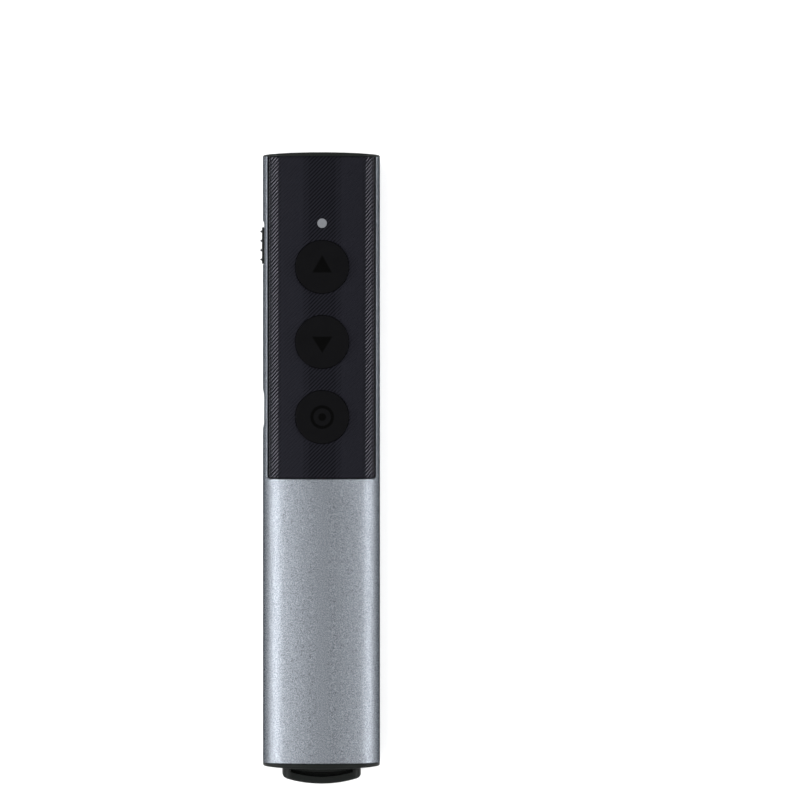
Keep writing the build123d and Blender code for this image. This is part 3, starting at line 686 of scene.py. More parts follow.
@dataclass
class Tube:
    """The extruded tube, with its milled window, polished rim, slider slot and port cut-out."""

    wall: float = 1.1
    rim: float = 0.25
    rim_steps: int = 12
    end_chamfer: float = 0.15
    band_top: float = 8.35
    band_bottom: float = 3.5
    band_columns: int = 17
    arc_columns: int = 25
    back_columns: int = 4
    strip_columns: int = 7
    crown_columns: int = 15
    plain_rows: int = 5
    opening_rows: int = 25
    rear_rows: int = 14
    ring_rows: int = 5
    openings: tuple = (
        SideOpening(11.95, 6.0, RoundedBox(4.57, 1.73, 1.729)),
        SideOpening(50.95, 5.97, RoundedBox(5.1, 1.85, 0.85)),
    )
    margin: float = 1.1
    corner_steps: int = 10
    borders: dict = field(default_factory=dict)

    def row_places(self) -> tuple[Array, list]:
        """Places the rows of the front part, closer together round the openings.

        Returns:
            Y of each row, and each opening's range of rows.
        """
        corner = WINDOW_REAR + WINDOW_CORNER
        rows = list(corner - (WINDOW_CORNER + self.rim) * np.cos(quarter(self.corner_steps)))
        ranges = []
        for opening in self.openings:
            reach = opening.shape.half_width + self.margin
            low, high = opening.middle_y - reach, opening.middle_y + reach
            rows += list(np.linspace(rows[-1], low, self.plain_rows)[1:])
            start = len(rows) - 1
            rows += list(np.linspace(low, high, self.opening_rows)[1:])
            ranges.append((start, len(rows) - 1))
        rows += list(np.linspace(rows[-1], NOSE_Y, self.plain_rows)[1:])
        return np.array(rows), ranges

    def column_places(self) -> tuple[Array, tuple]:
        """Places the fixed columns of the front part, in a band at the openings' height.

        Returns:
            Arc lengths of the columns from right to left, and the left band's first and last.
        """
        top, low = (
            OVAL.crown_half
            + OVAL.side_radius * (math.acos((z - OVAL.side_radius) / OVAL.side_radius) - OVAL.lean)
            for z in (self.band_top, self.band_bottom)
        )
        arc_end = OVAL.half - OVAL.side_x
        right = [np.linspace(top, low, self.band_columns)]
        right.append(np.linspace(low, arc_end, self.arc_columns)[1:])
        right.append(np.linspace(arc_end, OVAL.half, self.back_columns)[1:])
        right = np.concatenate(right)
        columns = np.concatenate([right, 2 * OVAL.half - right[-2::-1]])
        return columns, (len(columns) - self.band_columns, len(columns) - 1)

    def build(self) -> bpy.types.Object:
        """Builds both skins, the rim, the openings' reveals and the ends as one closed shell.

        Returns:
            The tube.
        """
        draft = Draft()
        rows, ranges = self.row_places()
        columns, band = self.column_places()
        # The way the window's edge faces at each row on the right, from its rear corner on.
        facing = np.full(len(rows), math.pi / 2)
        facing[: self.corner_steps + 1] = quarter(self.corner_steps)
        centre_x = WINDOW_HALF - WINDOW_CORNER + (WINDOW_CORNER + self.rim) * np.sin(facing)
        touch = OVAL.length_to(centre_x, self.rim)
        inner_edge = np.interp(touch, [touch[0], touch[-1]], [touch[0], columns[0]])
        crown = np.linspace(0, touch[0], self.crown_columns)[:-1]
        share = np.linspace(0, 1, self.strip_columns)[:-1]
        skins = []
        for edge, places, inset, chamfer in (
            (touch, rows, 0.0, self.end_chamfer),
            (inner_edge, rows + self.rim * np.cos(facing), self.wall, 0.0),
        ):
            strip = edge[:, None] + (columns[0] - edge[:, None]) * share
            fixed = np.broadcast_to(columns, (len(rows), len(columns)))
            s = np.concatenate([strip, fixed, 2 * OVAL.half - strip[:, ::-1]], axis=1)
            grid = OVAL.skin(s, places[:, None], inset)
            keep = np.ones((len(rows) - 1, s.shape[1] - 1), bool)
            first, last = band[0] + strip.shape[1], band[1] + strip.shape[1]
            for opening, (low, high) in zip(self.openings, ranges):
                keep[low:high, first:last] = False
                self.ring(draft, grid, (low, high, first, last), opening, inset)
            draft.patch(grid, keep=keep)
            # The rear part: a closed section from the window's rear edge to the tail.
            rear_s = np.concatenate([crown, s[0], 2 * OVAL.half - crown[::-1]])
            rear_y = np.linspace(places[0], TAIL_Y + chamfer, self.rear_rows)
            rear = OVAL.skin(rear_s, rear_y[:, None], inset)
            tail = OVAL.skin(rear_s, [[TAIL_Y]], inset + chamfer)
            draft.patch(np.concatenate([rear, tail]))
            skins.append((grid, tail))
        self.reveals(draft)
        (outer, outer_tail), (inner, inner_tail) = skins
        self.window_rim(draft, inner, touch, crown, rows, facing)
        draft.patch(np.concatenate([outer_tail, inner_tail]))
        draft.patch([outer[-1], inner[-1]])
        finishes = [Finishes.BLASTED_ALUMINIUM, Finishes.CUT_ALUMINIUM]
        return draft.piece("tube_skin", "housing", finishes, ["body_tube"])

    def ring(
        self, draft: Draft, grid: Array, cells: tuple, opening: SideOpening, inset: float
    ) -> None:
        """Fills between the lattice and an opening.

        The lattice's border points slide straight towards the opening's middle, in Y and Z,
        until they reach its outline, and X follows the skin. On the outer skin they stop short
        of the outline by the edge's radius.

        Args:
            draft: The tube's draft.
            grid: The lattice of the skin.
            cells: First and last row, first and last column of the cells left out.
            opening: The opening.
            inset: The skin's inset, 0 on the outer one.
        """
        low, high, first, last = cells
        ahead, back = grid[low:high, last], grid[high:low:-1, first]
        border = [grid[low, first:last], ahead, grid[high, last:first:-1], back]
        border = np.concatenate(border)
        outline = opening.points(border, 0.0 if inset else opening.edge)
        share = np.linspace(0, 1, self.ring_rows)[:, None, None]
        plan = border[:, 1:] * (1 - share) + outline * share
        x = -OVAL.side(plan[..., 1], inset)
        x[0] = border[:, 0]
        draft.patch(stacked(x, plan[..., 0], plan[..., 1]), close_columns=True)
        self.borders[opening, inset] = border

    def reveals(self, draft: Draft) -> None:
        """Adds each opening's rounded edge and its wall from the outer to the inner skin.

        Args:
            draft: The tube's draft.
        """
        for opening in self.openings:
            rings = []
            for grow, depth in quarter_round(opening.edge, 4):
                y, z = opening.points(self.borders[opening, 0.0], grow).T
                rings.append(stacked(depth - OVAL.side(z), y, z))
            y, z = opening.points(self.borders[opening, self.wall], 0.0).T
            rings.append(stacked(-OVAL.side(z, self.wall), y, z))
            draft.patch(rings, close_columns=True)

    def window_rim(
        self, draft: Draft, inner: Array, touch: Array, crown: Array,
        rows: Array, facing: Array,
    ) -> None:
        """Adds the polished rim and the window's wall.

        The rim is a circle of radius rim swept round the window. Its centre lies rim below
        the skin and rim outside the window, and it turns from the skin's normal to the
        wall's by spherical interpolation: (sin((1-a)w) N + sin(a w) W) / sin(w).

        Args:
            draft: The tube's draft.
            inner: Lattice of the inner skin.
            touch: Arc length where the rim touches the skin, for each row on the right.
            crown: Arc lengths of the rear edge's columns.
            rows: Y of each row on the right.
            facing: Angle at which the window's edge faces at each row, from the rear.
        """
        rear_s = np.concatenate([crown[::-1], 2 * OVAL.half - crown])
        s = np.concatenate([touch[::-1], rear_s, 2 * OVAL.half - touch])
        y = np.concatenate([rows[::-1], np.full(len(rear_s), rows[0]), rows])
        turn = np.concatenate([facing[::-1], np.zeros(len(rear_s)), -facing])
        x, z, nx, nz = OVAL.at(s, self.rim)
        centre, skin_normal = stacked(x, y, z), stacked(nx, 0.0, nz)
        wall_normal = stacked(-np.sin(turn), np.cos(turn), 0.0)
        spread = np.arccos(np.clip((skin_normal * wall_normal).sum(-1), -1, 1))[:, None]
        rings = []
        for a in np.linspace(0, 1, self.rim_steps + 1):
            heading = np.sin((1 - a) * spread) * skin_normal + np.sin(a * spread) * wall_normal
            rings.append(centre + self.rim * heading / np.sin(spread))
        rear_foot = OVAL.skin(rear_s, inner[0, 0, 1], self.wall)
        foot = np.concatenate([inner[::-1, 0], rear_foot, inner[:, -1]])
        draft.patch(rings, tag=1)
        draft.patch([rings[-1], foot])
        for end in (0, -1):
            fan = np.stack([ring[end] for ring in rings] + [foot[end]])
            draft.patch([fan, np.broadcast_to(foot[end], fan.shape)])


# ---------- the ribbed panel


@dataclass
class Panel:
    """The ribbed front panel, with round holes for the keys and the light pipe.

    Holes are given by their Y and radius, and the etched field's four borders by their
    distance from the middle line.
    """

    half: float = 12.35
    rear: float = -4.15
    corner: float = 0.45
    foot: float = 8.3
    wall: float = 1.6
    crown_edge: float = 9.2
    wall_from: float = 11.9
    rib_pitch: float = 0.64
    rib_height: float = 0.09
    rib_samples: int = 8
    rib_crest: float = 0.5
    wide_crest: float = 0.62
    wide_from: float = 11.5
    narrow_groove: float = 0.76
    etched: tuple = (3.2, 4.4, 9.55, 10.25)
    edge: float = 0.08
    nose_edge: float = 0.2
    border_fade: float = 0.12
    nearest_columns: float = 0.03
    key_turn: int = 6
    pipe_turn: int = 18
    crown_columns: int = 7
    side_columns: int = 14
    weld: float = 1e-4
    least_area: float = 1e-7
    hole_slack: float = 1e-6
    holes: tuple = (*((y, 6.28) for y in KEY_Y.values()), (PIPE_Y, 1.16))

    def columns(self) -> Array:
        """Places the columns close together at the holes' sides and at the rounded edges.

        Returns:
            X of the columns.
        """
        (_, key_radius), (_, pipe_radius) = self.holes[0], self.holes[-1]
        key = key_radius * np.sin(np.radians(np.arange(-90, 91, self.key_turn)))
        pipe = pipe_radius * np.sin(np.radians(np.arange(-90, 91, self.pipe_turn)))
        crown = np.linspace(key_radius, self.crown_edge, self.crown_columns)[1:]
        side = np.linspace(self.crown_edge, self.half - self.edge, self.side_columns)[1:]
        lip = self.half - self.edge + self.edge * np.sin(quarter(3))[1:]
        corner = self.half - self.corner + self.corner * np.sin(quarter(5))[:-1]
        right = np.concatenate([crown, side, lip, corner])
        every = np.unique(np.round(np.concatenate([key, pipe, right, -right]), 4))
        return every[np.diff(every, prepend=every[0] - 1) > self.nearest_columns]

    def rear_edge(self, x: Array) -> Array:
        """Y of the panel's rear edge, with its rounded corners, at x."""
        return self.rear + edge_fall(self.half - np.abs(x), self.corner)

    def sheet(self, step: float, shares: tuple = (0.0,)) -> tuple[Array, ...]:
        """A lattice of slanting rows clipped to the panel's plan.

        Rows run where Y - X = (k + share) * step, so they follow the ribs. Along each column,
        points past the outline stop at it, and points inside a hole move to its nearer side.

        Args:
            step: Distance between two turns of rows along Y.
            shares: Places of the rows in each turn, from 0 to 1.

        Returns:
            X, Y and the triangles.
        """
        x = self.columns()
        first_turn = math.floor((self.rear - self.half) / step)
        turns = np.arange(first_turn, math.ceil((NOSE_Y + self.half) / step) + 1)
        rows = (turns[:, None] + np.array(shares)).reshape(-1)
        y = np.clip(rows * step + x[:, None], self.rear_edge(x)[:, None], NOSE_Y)
        # The hole at whose far side a point now lies, or its negative at the near side.
        moved = np.zeros(y.shape, int)
        for number, (middle, radius) in enumerate(self.holes, 1):
            reach = np.sqrt(np.clip(radius**2 - x**2, 0, None))[:, None]
            inside = np.abs(y - middle) < reach - self.hole_slack
            side = np.where(y > middle, 1, -1)
            moved = np.where(inside, side * number, moved)
            y = np.where(inside, middle + side * reach, y)
        index = np.arange(y.size).reshape(y.shape)
        a, b, c, d = index[:-1, :-1], index[1:, :-1], index[1:, 1:], index[:-1, 1:]
        halves = [np.stack(corners, -1).reshape(-1, 3) for corners in ((a, b, c), (a, c, d))]
        triangles = np.concatenate(halves)
        # Triangles that span a hole have a corner on each of its sides.
        marks = moved.reshape(-1)[triangles]
        for number in range(1, len(self.holes) + 1):
            kept = ~((marks == number).any(1) & (marks == -number).any(1))
            triangles, marks = triangles[kept], marks[kept]
        plan = stacked(x[:, None], y).reshape(-1, 2)
        keys = np.round(plan / self.weld).astype(np.int64)
        _, first, back = np.unique(keys, axis=0, return_index=True, return_inverse=True)
        triangles, (px, py) = back.reshape(-1)[triangles], plan[first].T
        p, q, r = triangles.T
        area = (px[q] - px[p]) * (py[r] - py[p]) - (px[r] - px[p]) * (py[q] - py[p])
        return px, py, triangles[np.abs(area) > self.least_area]

    def drop(self, x: Array, y: Array) -> Array:
        """How far the surface falls at its edges: quarter rounds of radius edge or nose_edge.

        Args:
            x: X of the points.
            y: Y of the points.

        Returns:
            The fall below the skin.
        """
        gaps = [self.half - np.abs(x), y - self.rear_edge(x)]
        gaps += [np.hypot(x, y - middle) - radius for middle, radius in self.holes]
        return np.maximum(
            edge_fall(np.min(gaps, axis=0), self.edge), edge_fall(NOSE_Y - y, self.nose_edge)
        )

    def across(self, diagonal: Array) -> Array:
        """Place across a rib where Y - X is diagonal: 0 on its crest, -0.5 and 0.5 in grooves."""
        turn = diagonal / (self.rib_pitch * math.sqrt(2))
        return turn - np.round(turn)

    def ribs(self, x: Array, y: Array) -> Array:
        """Depth rib_height * 4 u^2 at u across a rib, which fades out at the panel's sides."""
        fade = np.clip((self.half - np.abs(x)) / self.border_fade, 0, 1)
        return self.rib_height * 4 * self.across(y - x) ** 2 * fade

    def finish_tags(self, side: Array, u: Array) -> Array:
        """Finish of each face: 0 polished crest, 1 groove painted dark as shade, 2 etched.

        The crests are polished in the two side bands and etched elsewhere. The grooves are
        painted dark, as shade, in the bands and in the middle. Between these they narrow and
        then are etched too.

        Args:
            side: Distance of each face from the panel's middle line.
            u: Distance of each face from its crest, from 0 to 0.5.

        Returns:
            A tag for each face.
        """
        first, second, third, last = self.etched
        crest = np.where(side > self.wide_from, self.wide_crest, self.rib_crest)
        crest = np.where((side > first) & (side < last), self.narrow_groove, crest)
        crest = np.where((side > second) & (side < third), 1.0, crest)
        return np.where(u > crest / 2, 1, np.where(side < last, 2, 0))

    def underside(self, x: Array) -> Array:
        """Height of the panel's underside at x."""
        inner = np.maximum(OVAL.front(x, self.wall), self.foot)
        return np.where(np.abs(x) < self.wall_from, inner, self.foot)

    def build(self) -> bpy.types.Object:
        """Builds the ribbed face, the underside and the walls between them.

        Returns:
            The panel.
        """
        draft = Draft()
        step = self.rib_pitch * math.sqrt(2)
        x, y, triangles = self.sheet(step, tuple(np.arange(self.rib_samples) / self.rib_samples))
        z = OVAL.front(x) - self.ribs(x, y) - self.drop(x, y)
        u = np.abs(self.across((y - x)[triangles].mean(axis=1)))
        tags = self.finish_tags(np.abs(x[triangles].mean(axis=1)), u)
        draft.triangles(stacked(x, y, z), triangles, tags)
        under_x, under_y, under = self.sheet(step * 4)
        draft.triangles(stacked(under_x, under_y, self.underside(under_x)), under[:, ::-1])
        sides = np.concatenate([triangles[:, pair] for pair in ([0, 1], [1, 2], [2, 0])])
        pairs, times = np.unique(np.sort(sides, axis=1), axis=0, return_counts=True)
        rim = pairs[times == 1]
        top = stacked(x[rim], y[rim], z[rim])
        bottom = stacked(x[rim], y[rim], self.underside(x[rim]))
        wall = np.stack([top[:, 0], top[:, 1], bottom[:, 1], bottom[:, 0]], 1).reshape(-1, 3)
        corner = np.arange(len(wall)).reshape(-1, 4)
        draft.triangles(wall, np.concatenate([corner[:, [0, 1, 2]], corner[:, [0, 2, 3]]]))
        finishes = [
            Finishes.RIBBED_POLYCARBONATE, Finishes.PAINTED_SHADE_GROOVE_POLYCARBONATE,
            Finishes.ETCHED_POLYCARBONATE,
        ]
        return draft.piece(
            "ribbed_panel", "housing", finishes, ["front_panel"], sharp=50.0
        )


# ---------- keys and light pipe


def turned(profile: Array, middle_y: float, segments: int) -> Array:
    """Turns a profile round an upright axis: (r, z) becomes (r cos t, middle_y + r sin t, z).

    Args:
        profile: Rows of radius and height.
        middle_y: Y of the axis, which stands at X = 0.
        segments: Steps round the axis.

    Returns:
        A grid of points, a row for each of the profile's.
    """
    angle = np.linspace(0, 2 * math.pi, segments, endpoint=False)
    r, z = profile[:, 0][:, None], profile[:, 1][:, None]
    return stacked(r * np.cos(angle), middle_y + r * np.sin(angle), z)


class Sign(Enum):
    """What is printed on the keys, in the order of KEY_Y.

    A triangle is given by its half width, its tip and its base, and the beam by its ring's
    two radii and its dot's radius.
    """

    UP = (2.27, 2.72, -1.3)
    DOWN = (2.35, 2.55, -1.25)
    BEAM = (2.05, 2.75, 0.9)


@dataclass
class Key:
    """A flat round key with its printed sign."""

    name: str
    middle_y: float
    sign: Sign
    radius: float = 6.2
    top: float = 13.038
    edge: float = 0.15
    flange_radius: float = 6.8
    flange_top: float = 10.48
    flange: float = 0.8
    cup: float = 5.1
    cup_top: float = 11.95
    post: float = 1.5
    post_foot: float = 6.97
    ink: float = 0.011
    sign_corner: float = 0.12
    segments: int = 128
    sign_segments: int = 96

    def build(self) -> list:
        """Builds the key as a turned shell, and its sign as thin plates on top of it.

        Returns:
            The key and the sign.
        """
        round_edge = [self.radius, self.top] - quarter_round(self.edge, 6)
        base = self.flange_top - self.flange
        inside = [
            [self.radius, self.flange_top], [self.flange_radius, self.flange_top],
            [self.flange_radius, base], [self.cup, base], [self.cup, self.cup_top],
            [self.post, self.cup_top], [self.post, self.post_foot], [0.0, self.post_foot],
        ]
        face = stacked(np.linspace(0, self.radius - self.edge, 9)[:-1], self.top)
        profile = np.concatenate([face, round_edge, inside])
        draft = Draft()
        draft.patch(turned(profile, self.middle_y, self.segments), close_columns=True)
        body = f"{self.name}_key"
        key = draft.piece(f"{self.name}_key_cap", body, [Finishes.MATTE_ABS], [body])
        return [key, self.print_sign(body)]

    def print_sign(self, body: str) -> bpy.types.Object:
        """Builds the sign: a triangle with softened corners, or a ring round a dot.

        Args:
            body: The key's body.

        Returns:
            The sign.
        """
        draft = Draft()
        low, high = self.top - self.ink, self.top + self.ink
        if self.sign is Sign.BEAM:
            ring_inner, ring_outer, dot = self.sign.value
            for inner, outer in ((ring_inner, ring_outer), (0.0, dot)):
                profile = np.array([[inner, low], [inner, high], [outer, high], [outer, low]])
                rings = turned(profile, self.middle_y, self.sign_segments)
                draft.patch(rings, close_columns=True, close_rows=True)
        else:
            half, tip, base = self.sign.value
            outline = self.softened(np.array([[half, base], [0, tip], [-half, base]]))
            x, y = (outline * [1, 1 if self.sign is Sign.UP else -1]).T
            rings = [
                stacked(share * x, self.middle_y + share * y, z)
                for share, z in ((0.0, high), (1.0, high), (1.0, low), (0.0, low))
            ]
            draft.patch(rings, close_columns=True)
        return draft.piece(f"{self.name}_sign", body, [Finishes.PRINTED_INK])

    def softened(self, corners: Array) -> Array:
        """Rounds a polygon's corners with curves that start sign_corner before each corner.

        Args:
            corners: Rows of X and Y.

        Returns:
            The rounded outline.
        """
        runs = []
        for k, at in enumerate(corners):
            ends = []
            for other in (corners[k - 1], corners[(k + 1) % len(corners)]):
                ends.append(at + self.sign_corner * (other - at) / np.linalg.norm(other - at))
            runs.append(bend(ends[0], at, ends[1], 6))
        return np.concatenate(runs)


@dataclass
class LightPipe:
    """The clear indicator dot above the keys, domed slightly below the panel's skin."""

    middle_y: float = PIPE_Y
    radius: float = 1.1
    top: float = 12.99
    dome: float = 0.08
    bottom: float = 4.97
    segments: int = 48

    def build(self) -> bpy.types.Object:
        """Builds the pipe: a dome that falls with the square of the radius, and its shaft.

        Returns:
            The pipe.
        """
        r = np.linspace(0, self.radius, 9)
        crown = stacked(r, self.top - self.dome * (r / self.radius) ** 2)
        profile = np.concatenate([crown, [[self.radius, self.bottom], [0.0, self.bottom]]])
        draft = Draft()
        draft.patch(turned(profile, self.middle_y, self.segments), close_columns=True)
        return draft.piece(
            "indicator_dot", "housing", [Finishes.MILKY_ACRYLIC], ["light_pipe"]
        )


# ---------- end caps


@dataclass
class EndCap:
    """A domed end cap with an opening through its middle."""

    name: str
    node: str
    face_y: float
    outward: float
    thickness: float
    rise: float
    opening: RoundedBox
    edge: float = 0.45
    seam: float = 0.15
    opening_edge: float = 0.15
    samples: int = 240
    face_rings: int = 9

    def crown(self, x: Array) -> Array:
        """Y of the domed face, an arc across X."""
        fall = bow(x, OVAL.width / 2, self.rise)
        return self.face_y + self.outward * (self.thickness - fall)

    def build(self) -> bpy.types.Object:
        """Builds the cap as rings from its back, round its edge and over its face.

        Returns:
            The cap.
        """
        s = np.linspace(0, 2 * OVAL.half, self.samples, endpoint=False)
        outer_x, outer_z, _, _ = OVAL.at(s)
        angles = np.arctan2(outer_z - MIDDLE_Z, outer_x)
        reach = reach_at(self.opening.outline(), angles)
        unit_x, unit_z = np.cos(angles), np.sin(angles)

        def hole_ring(grow: float, y: Array) -> Array:
            """A ring on the opening's outline, grown by grow, at y."""
            return stacked((reach + grow) * unit_x, y, (reach + grow) * unit_z + MIDDLE_Z)

        rings = [hole_ring(0.0, self.face_y)]
        for inset, ahead in quarter_round(self.seam, 3):
            rings.append(OVAL.skin(s, self.face_y + self.outward * ahead, inset))
        for back, inset in quarter_round(self.edge, 6):
            x, z, _, _ = OVAL.at(s, inset)
            rings.append(stacked(x, self.crown(x) - self.outward * back, z))
        rim = hole_ring(self.opening_edge, 0.0)
        for share in np.linspace(0, 1, self.face_rings)[1:]:
            face = OVAL.skin(s, 0.0, self.edge) * (1 - share) + rim * share
            face[:, 1] = self.crown(face[:, 0])
            rings.append(face)
        for grow, sink in quarter_round(self.opening_edge, 4)[1:]:
            y = self.crown((reach + grow) * unit_x) - self.outward * sink
            rings.append(hole_ring(grow, y))
        draft = Draft()
        draft.patch(rings, close_rows=True, close_columns=True)
        return draft.piece(
            self.name, "housing", [Finishes.MOULDED_ABS], [self.node]
        )


# ---------- the receiver's grip


@dataclass
class Grip:
    """The receiver's loop-shaped grip: a rounded bar with a blind thumb slot in both faces."""

    half: float = 9.2
    half_height: float = 3.4
    section_corner: float = 2.2
    front: float = -64.85
    end: float = -75.87
    end_rise: float = 1.5
    end_round: float = 0.8
    end_round_from: float = 0.3
    end_round_over: float = 0.9
    least_round: float = 0.02
    front_round: float = 0.2
    front_from: float = 8.5
    corner_inset: float = 1.2
    corner_start: float = 1.1
    corner_tip: float = 0.12
    slot_half: float = 7.2
    shoulder: float = -73.07
    shoulder_rise: float = 0.7
    bar_inner: float = -74.13
    bar_rise: float = 1.05
    web: float = 0.8
    slot_edge: float = 0.25
    centre_y: float = -73.55
    end_points: int = 61
    corner_steps: int = 14
    side_points: int = 30
    front_points: int = 40
    slot_points: int = 41
    slot_end_points: int = 7
    face_rings: int = 22
    nearest_angles: float = 1e-4

    def plan(self) -> Array:
        """The grip's outline in plan, about its centre: three straight sides and an arc.

        The end is an arc through the middle and both corners, and its corners are rounded by
        quadratic curves.

        Returns:
            Rows of X and Y.
        """
        arc_half = self.half - self.corner_inset
        x = np.linspace(arc_half, -arc_half, self.end_points)
        arc = stacked(x, self.end + bow(x, self.half, self.end_rise))
        corner_y = self.end + self.end_rise
        start = np.array([self.half, corner_y + self.corner_start])
        tip = np.array([self.half, corner_y - self.corner_tip])
        corner = bend(start, tip, arc[0], self.corner_steps)
        left_front, right_front = [-self.half, self.front], [self.half, self.front]
        runs = [corner, arc, (corner * [-1, 1])[::-1]]
        runs.append(np.linspace(start * [-1, 1], left_front, self.side_points)[1:])
        runs.append(np.linspace(left_front, right_front, self.front_points)[1:])
        runs.append(np.linspace(right_front, start, self.side_points)[1:-1])
        return (np.concatenate(runs) - [0, self.centre_y])[::-1]

    def slot(self) -> Array:
        """The thumb slot's outline in plan, about the grip's centre: two arcs and two ends.

        Returns:
            Rows of X and Y.
        """
        x = np.linspace(-self.slot_half, self.slot_half, self.slot_points)
        upper = self.shoulder + bow(x, self.slot_half, self.shoulder_rise)
        lower = self.bar_inner + bow(x, self.slot_half, self.bar_rise)
        ends = np.linspace(lower[-1], upper[-1], self.slot_end_points)[1:-1]
        runs = [stacked(x, lower), stacked(self.slot_half, ends)]
        runs += [stacked(x[::-1], upper[::-1]), stacked(-self.slot_half, ends[::-1])]
        return np.concatenate(runs) - [0, self.centre_y]

    def build(self) -> bpy.types.Object:
        """Builds the grip as rings from the slot's floor, over its face and round to the back.

        The face falls by a quarter round of section_corner at the sides, and by a smaller one
        round the outline, which grows to end_round towards the end.

        Returns:
            The grip.
        """
        outline, slot = self.plan(), self.slot()
        x, y = np.concatenate([outline, slot]).T
        angles = np.sort(np.arctan2(y, x))
        angles = angles[np.diff(angles, prepend=angles[0] - 1) > self.nearest_angles]
        outer, inner = reach_at(outline, angles), reach_at(slot, angles)
        ux, uy = np.cos(angles), np.sin(angles)
        edge = stacked(outer * ux, outer * uy)
        tangent = np.roll(edge, -1, 0) - np.roll(edge, 1, 0)
        facing = np.abs(tangent[:, 1] * ux - tangent[:, 0] * uy) / np.linalg.norm(tangent, axis=1)
        toward_end = np.clip((-edge[:, 1] - self.end_round_from) / self.end_round_over, 0, 1)
        rounding = self.least_round + self.end_round * toward_end**2 * (3 - 2 * toward_end)
        rounding = np.where(edge[:, 1] > self.front_from, self.front_round, rounding)

        def face_height(reach: Array) -> Array:
            """Height of the face above the middle plane at a distance along each direction."""
            fall = edge_fall(self.half - np.abs(reach * ux), self.section_corner)
            return self.half_height - fall - edge_fall((outer - reach) * facing, rounding)

        floor = np.full_like(angles, self.web / 2)
        rings = [(np.zeros_like(angles), floor), (inner, floor)]
        rim_height = face_height(inner + self.slot_edge)
        for sink, out in quarter_round(self.slot_edge, 4):
            rings.append((inner + out, rim_height - sink))
        for share in np.sin(quarter(self.face_rings))[1:]:
            reach = (inner + self.slot_edge) * (1 - share) + outer * share
            rings.append((reach, face_height(reach)))
        rings += [(reach, -height) for reach, height in rings[::-1]]
        rings = [stacked(r * ux, self.centre_y + r * uy, MIDDLE_Z + h) for r, h in rings]
        draft = Draft()
        draft.patch(rings, close_columns=True)
        return draft.piece(
            "loop_grip", "receiver", [Finishes.MOULDED_ABS], ["receiver_grip"],
            sharp=50.0,
        )


# ---------- the slider's knob


@dataclass
class Knob:
    """The power slider's knob: a plate with narrow thumb ridges, on a flange behind the slot."""

    middle_y: float = 50.3
    middle_z: float = 5.97
    plate: RoundedBox = RoundedBox(4.3, 1.7, 0.85)
    face: float = 13.95
    edge: float = 0.12
    ridge_count: int = 4
    ridge_pitch: float = 2.19
    ridge_half: float = 0.32
    ridge_height: float = 0.44
    ridge_tip: float = 0.04
    ridge_end: float = 1.5
    ridge_fade: float = 0.12
    flange: RoundedBox = RoundedBox(5.75, 2.05, 0.05)
    notch: RoundedBox = RoundedBox(0.85, 0.75, 0.05)
    flange_out: float = 12.03
    flange_in: float = 11.24
    rows: int = 33

    def ridges(self) -> Array:
        """Y of the ridges, about the knob's middle."""
        return (np.arange(self.ridge_count) - (self.ridge_count - 1) / 2) * self.ridge_pitch

    def face_grid(self) -> Array:
        """The plate's front as a grid of columns along Y.

        In each column Z runs to the outline's half height H(y) by H sin(w). The face falls by
        a quarter round of radius edge, and rises on a ridge by ridge_height times
        1 - distance / ridge_half, cut off flat at the tip.

        Returns:
            Columns by rows by XYZ.
        """
        bent = self.plate.corner
        offsets = np.array([self.ridge_half, 0.5 * self.ridge_half, self.ridge_tip])
        tips = self.ridges()[:, None] + np.concatenate([-offsets, offsets])
        round_end = self.plate.half_width - bent + bent * np.sin(quarter(8))
        y = np.unique(np.concatenate([tips.ravel(), round_end, -round_end]))
        end_gap = (self.plate.half_width - np.abs(y))[:, None]
        height = self.plate.half_height - edge_fall(end_gap, bent)
        z = height * np.sin(np.linspace(-math.pi / 2, math.pi / 2, self.rows))
        gap = np.minimum(height - np.abs(z), end_gap)
        away = np.abs(y[:, None] - self.ridges()).min(axis=1)
        away = np.clip(away - self.ridge_tip, 0, None) / (self.ridge_half - self.ridge_tip)
        rise = self.ridge_height * np.clip(1 - away, 0, 1)[:, None]
        rise = rise * np.clip((self.ridge_end - np.abs(z)) / self.ridge_fade, 0, 1)
        out = self.face - edge_fall(gap, self.edge) + rise
        return stacked(-out, self.middle_y + y[:, None], self.middle_z + z)

    def build(self) -> bpy.types.Object:
        """Builds the plate down to the flange, and the flange as a frame round the lever.

        Returns:
            The knob.
        """
        grid = self.face_grid()
        draft = Draft()
        draft.patch(grid)
        border = np.concatenate([grid[:, 0], grid[-1, 1:], grid[-2::-1, -1], grid[0, -2:0:-1]])
        foot = border * [0, 1, 1] - [self.flange_out, 0, 0]
        centre = np.broadcast_to([-self.flange_out, self.middle_y, self.middle_z], foot.shape)
        draft.patch([border, foot, centre], close_columns=True)
        rings = []
        for shape, depth in (
            (self.notch, self.flange_in), (self.flange, self.flange_in),
            (self.flange, self.flange_out), (self.notch, self.flange_out),
        ):
            y, z = shape.outline(4).T
            rings.append(stacked(-depth, self.middle_y + y, self.middle_z + z))
        draft.patch(rings, close_rows=True, close_columns=True)
        return draft.piece(
            "ridged_knob", "power_slider", [Finishes.MOULDED_ABS], ["power_knob"]
        )


# ---------- carried-over nodes


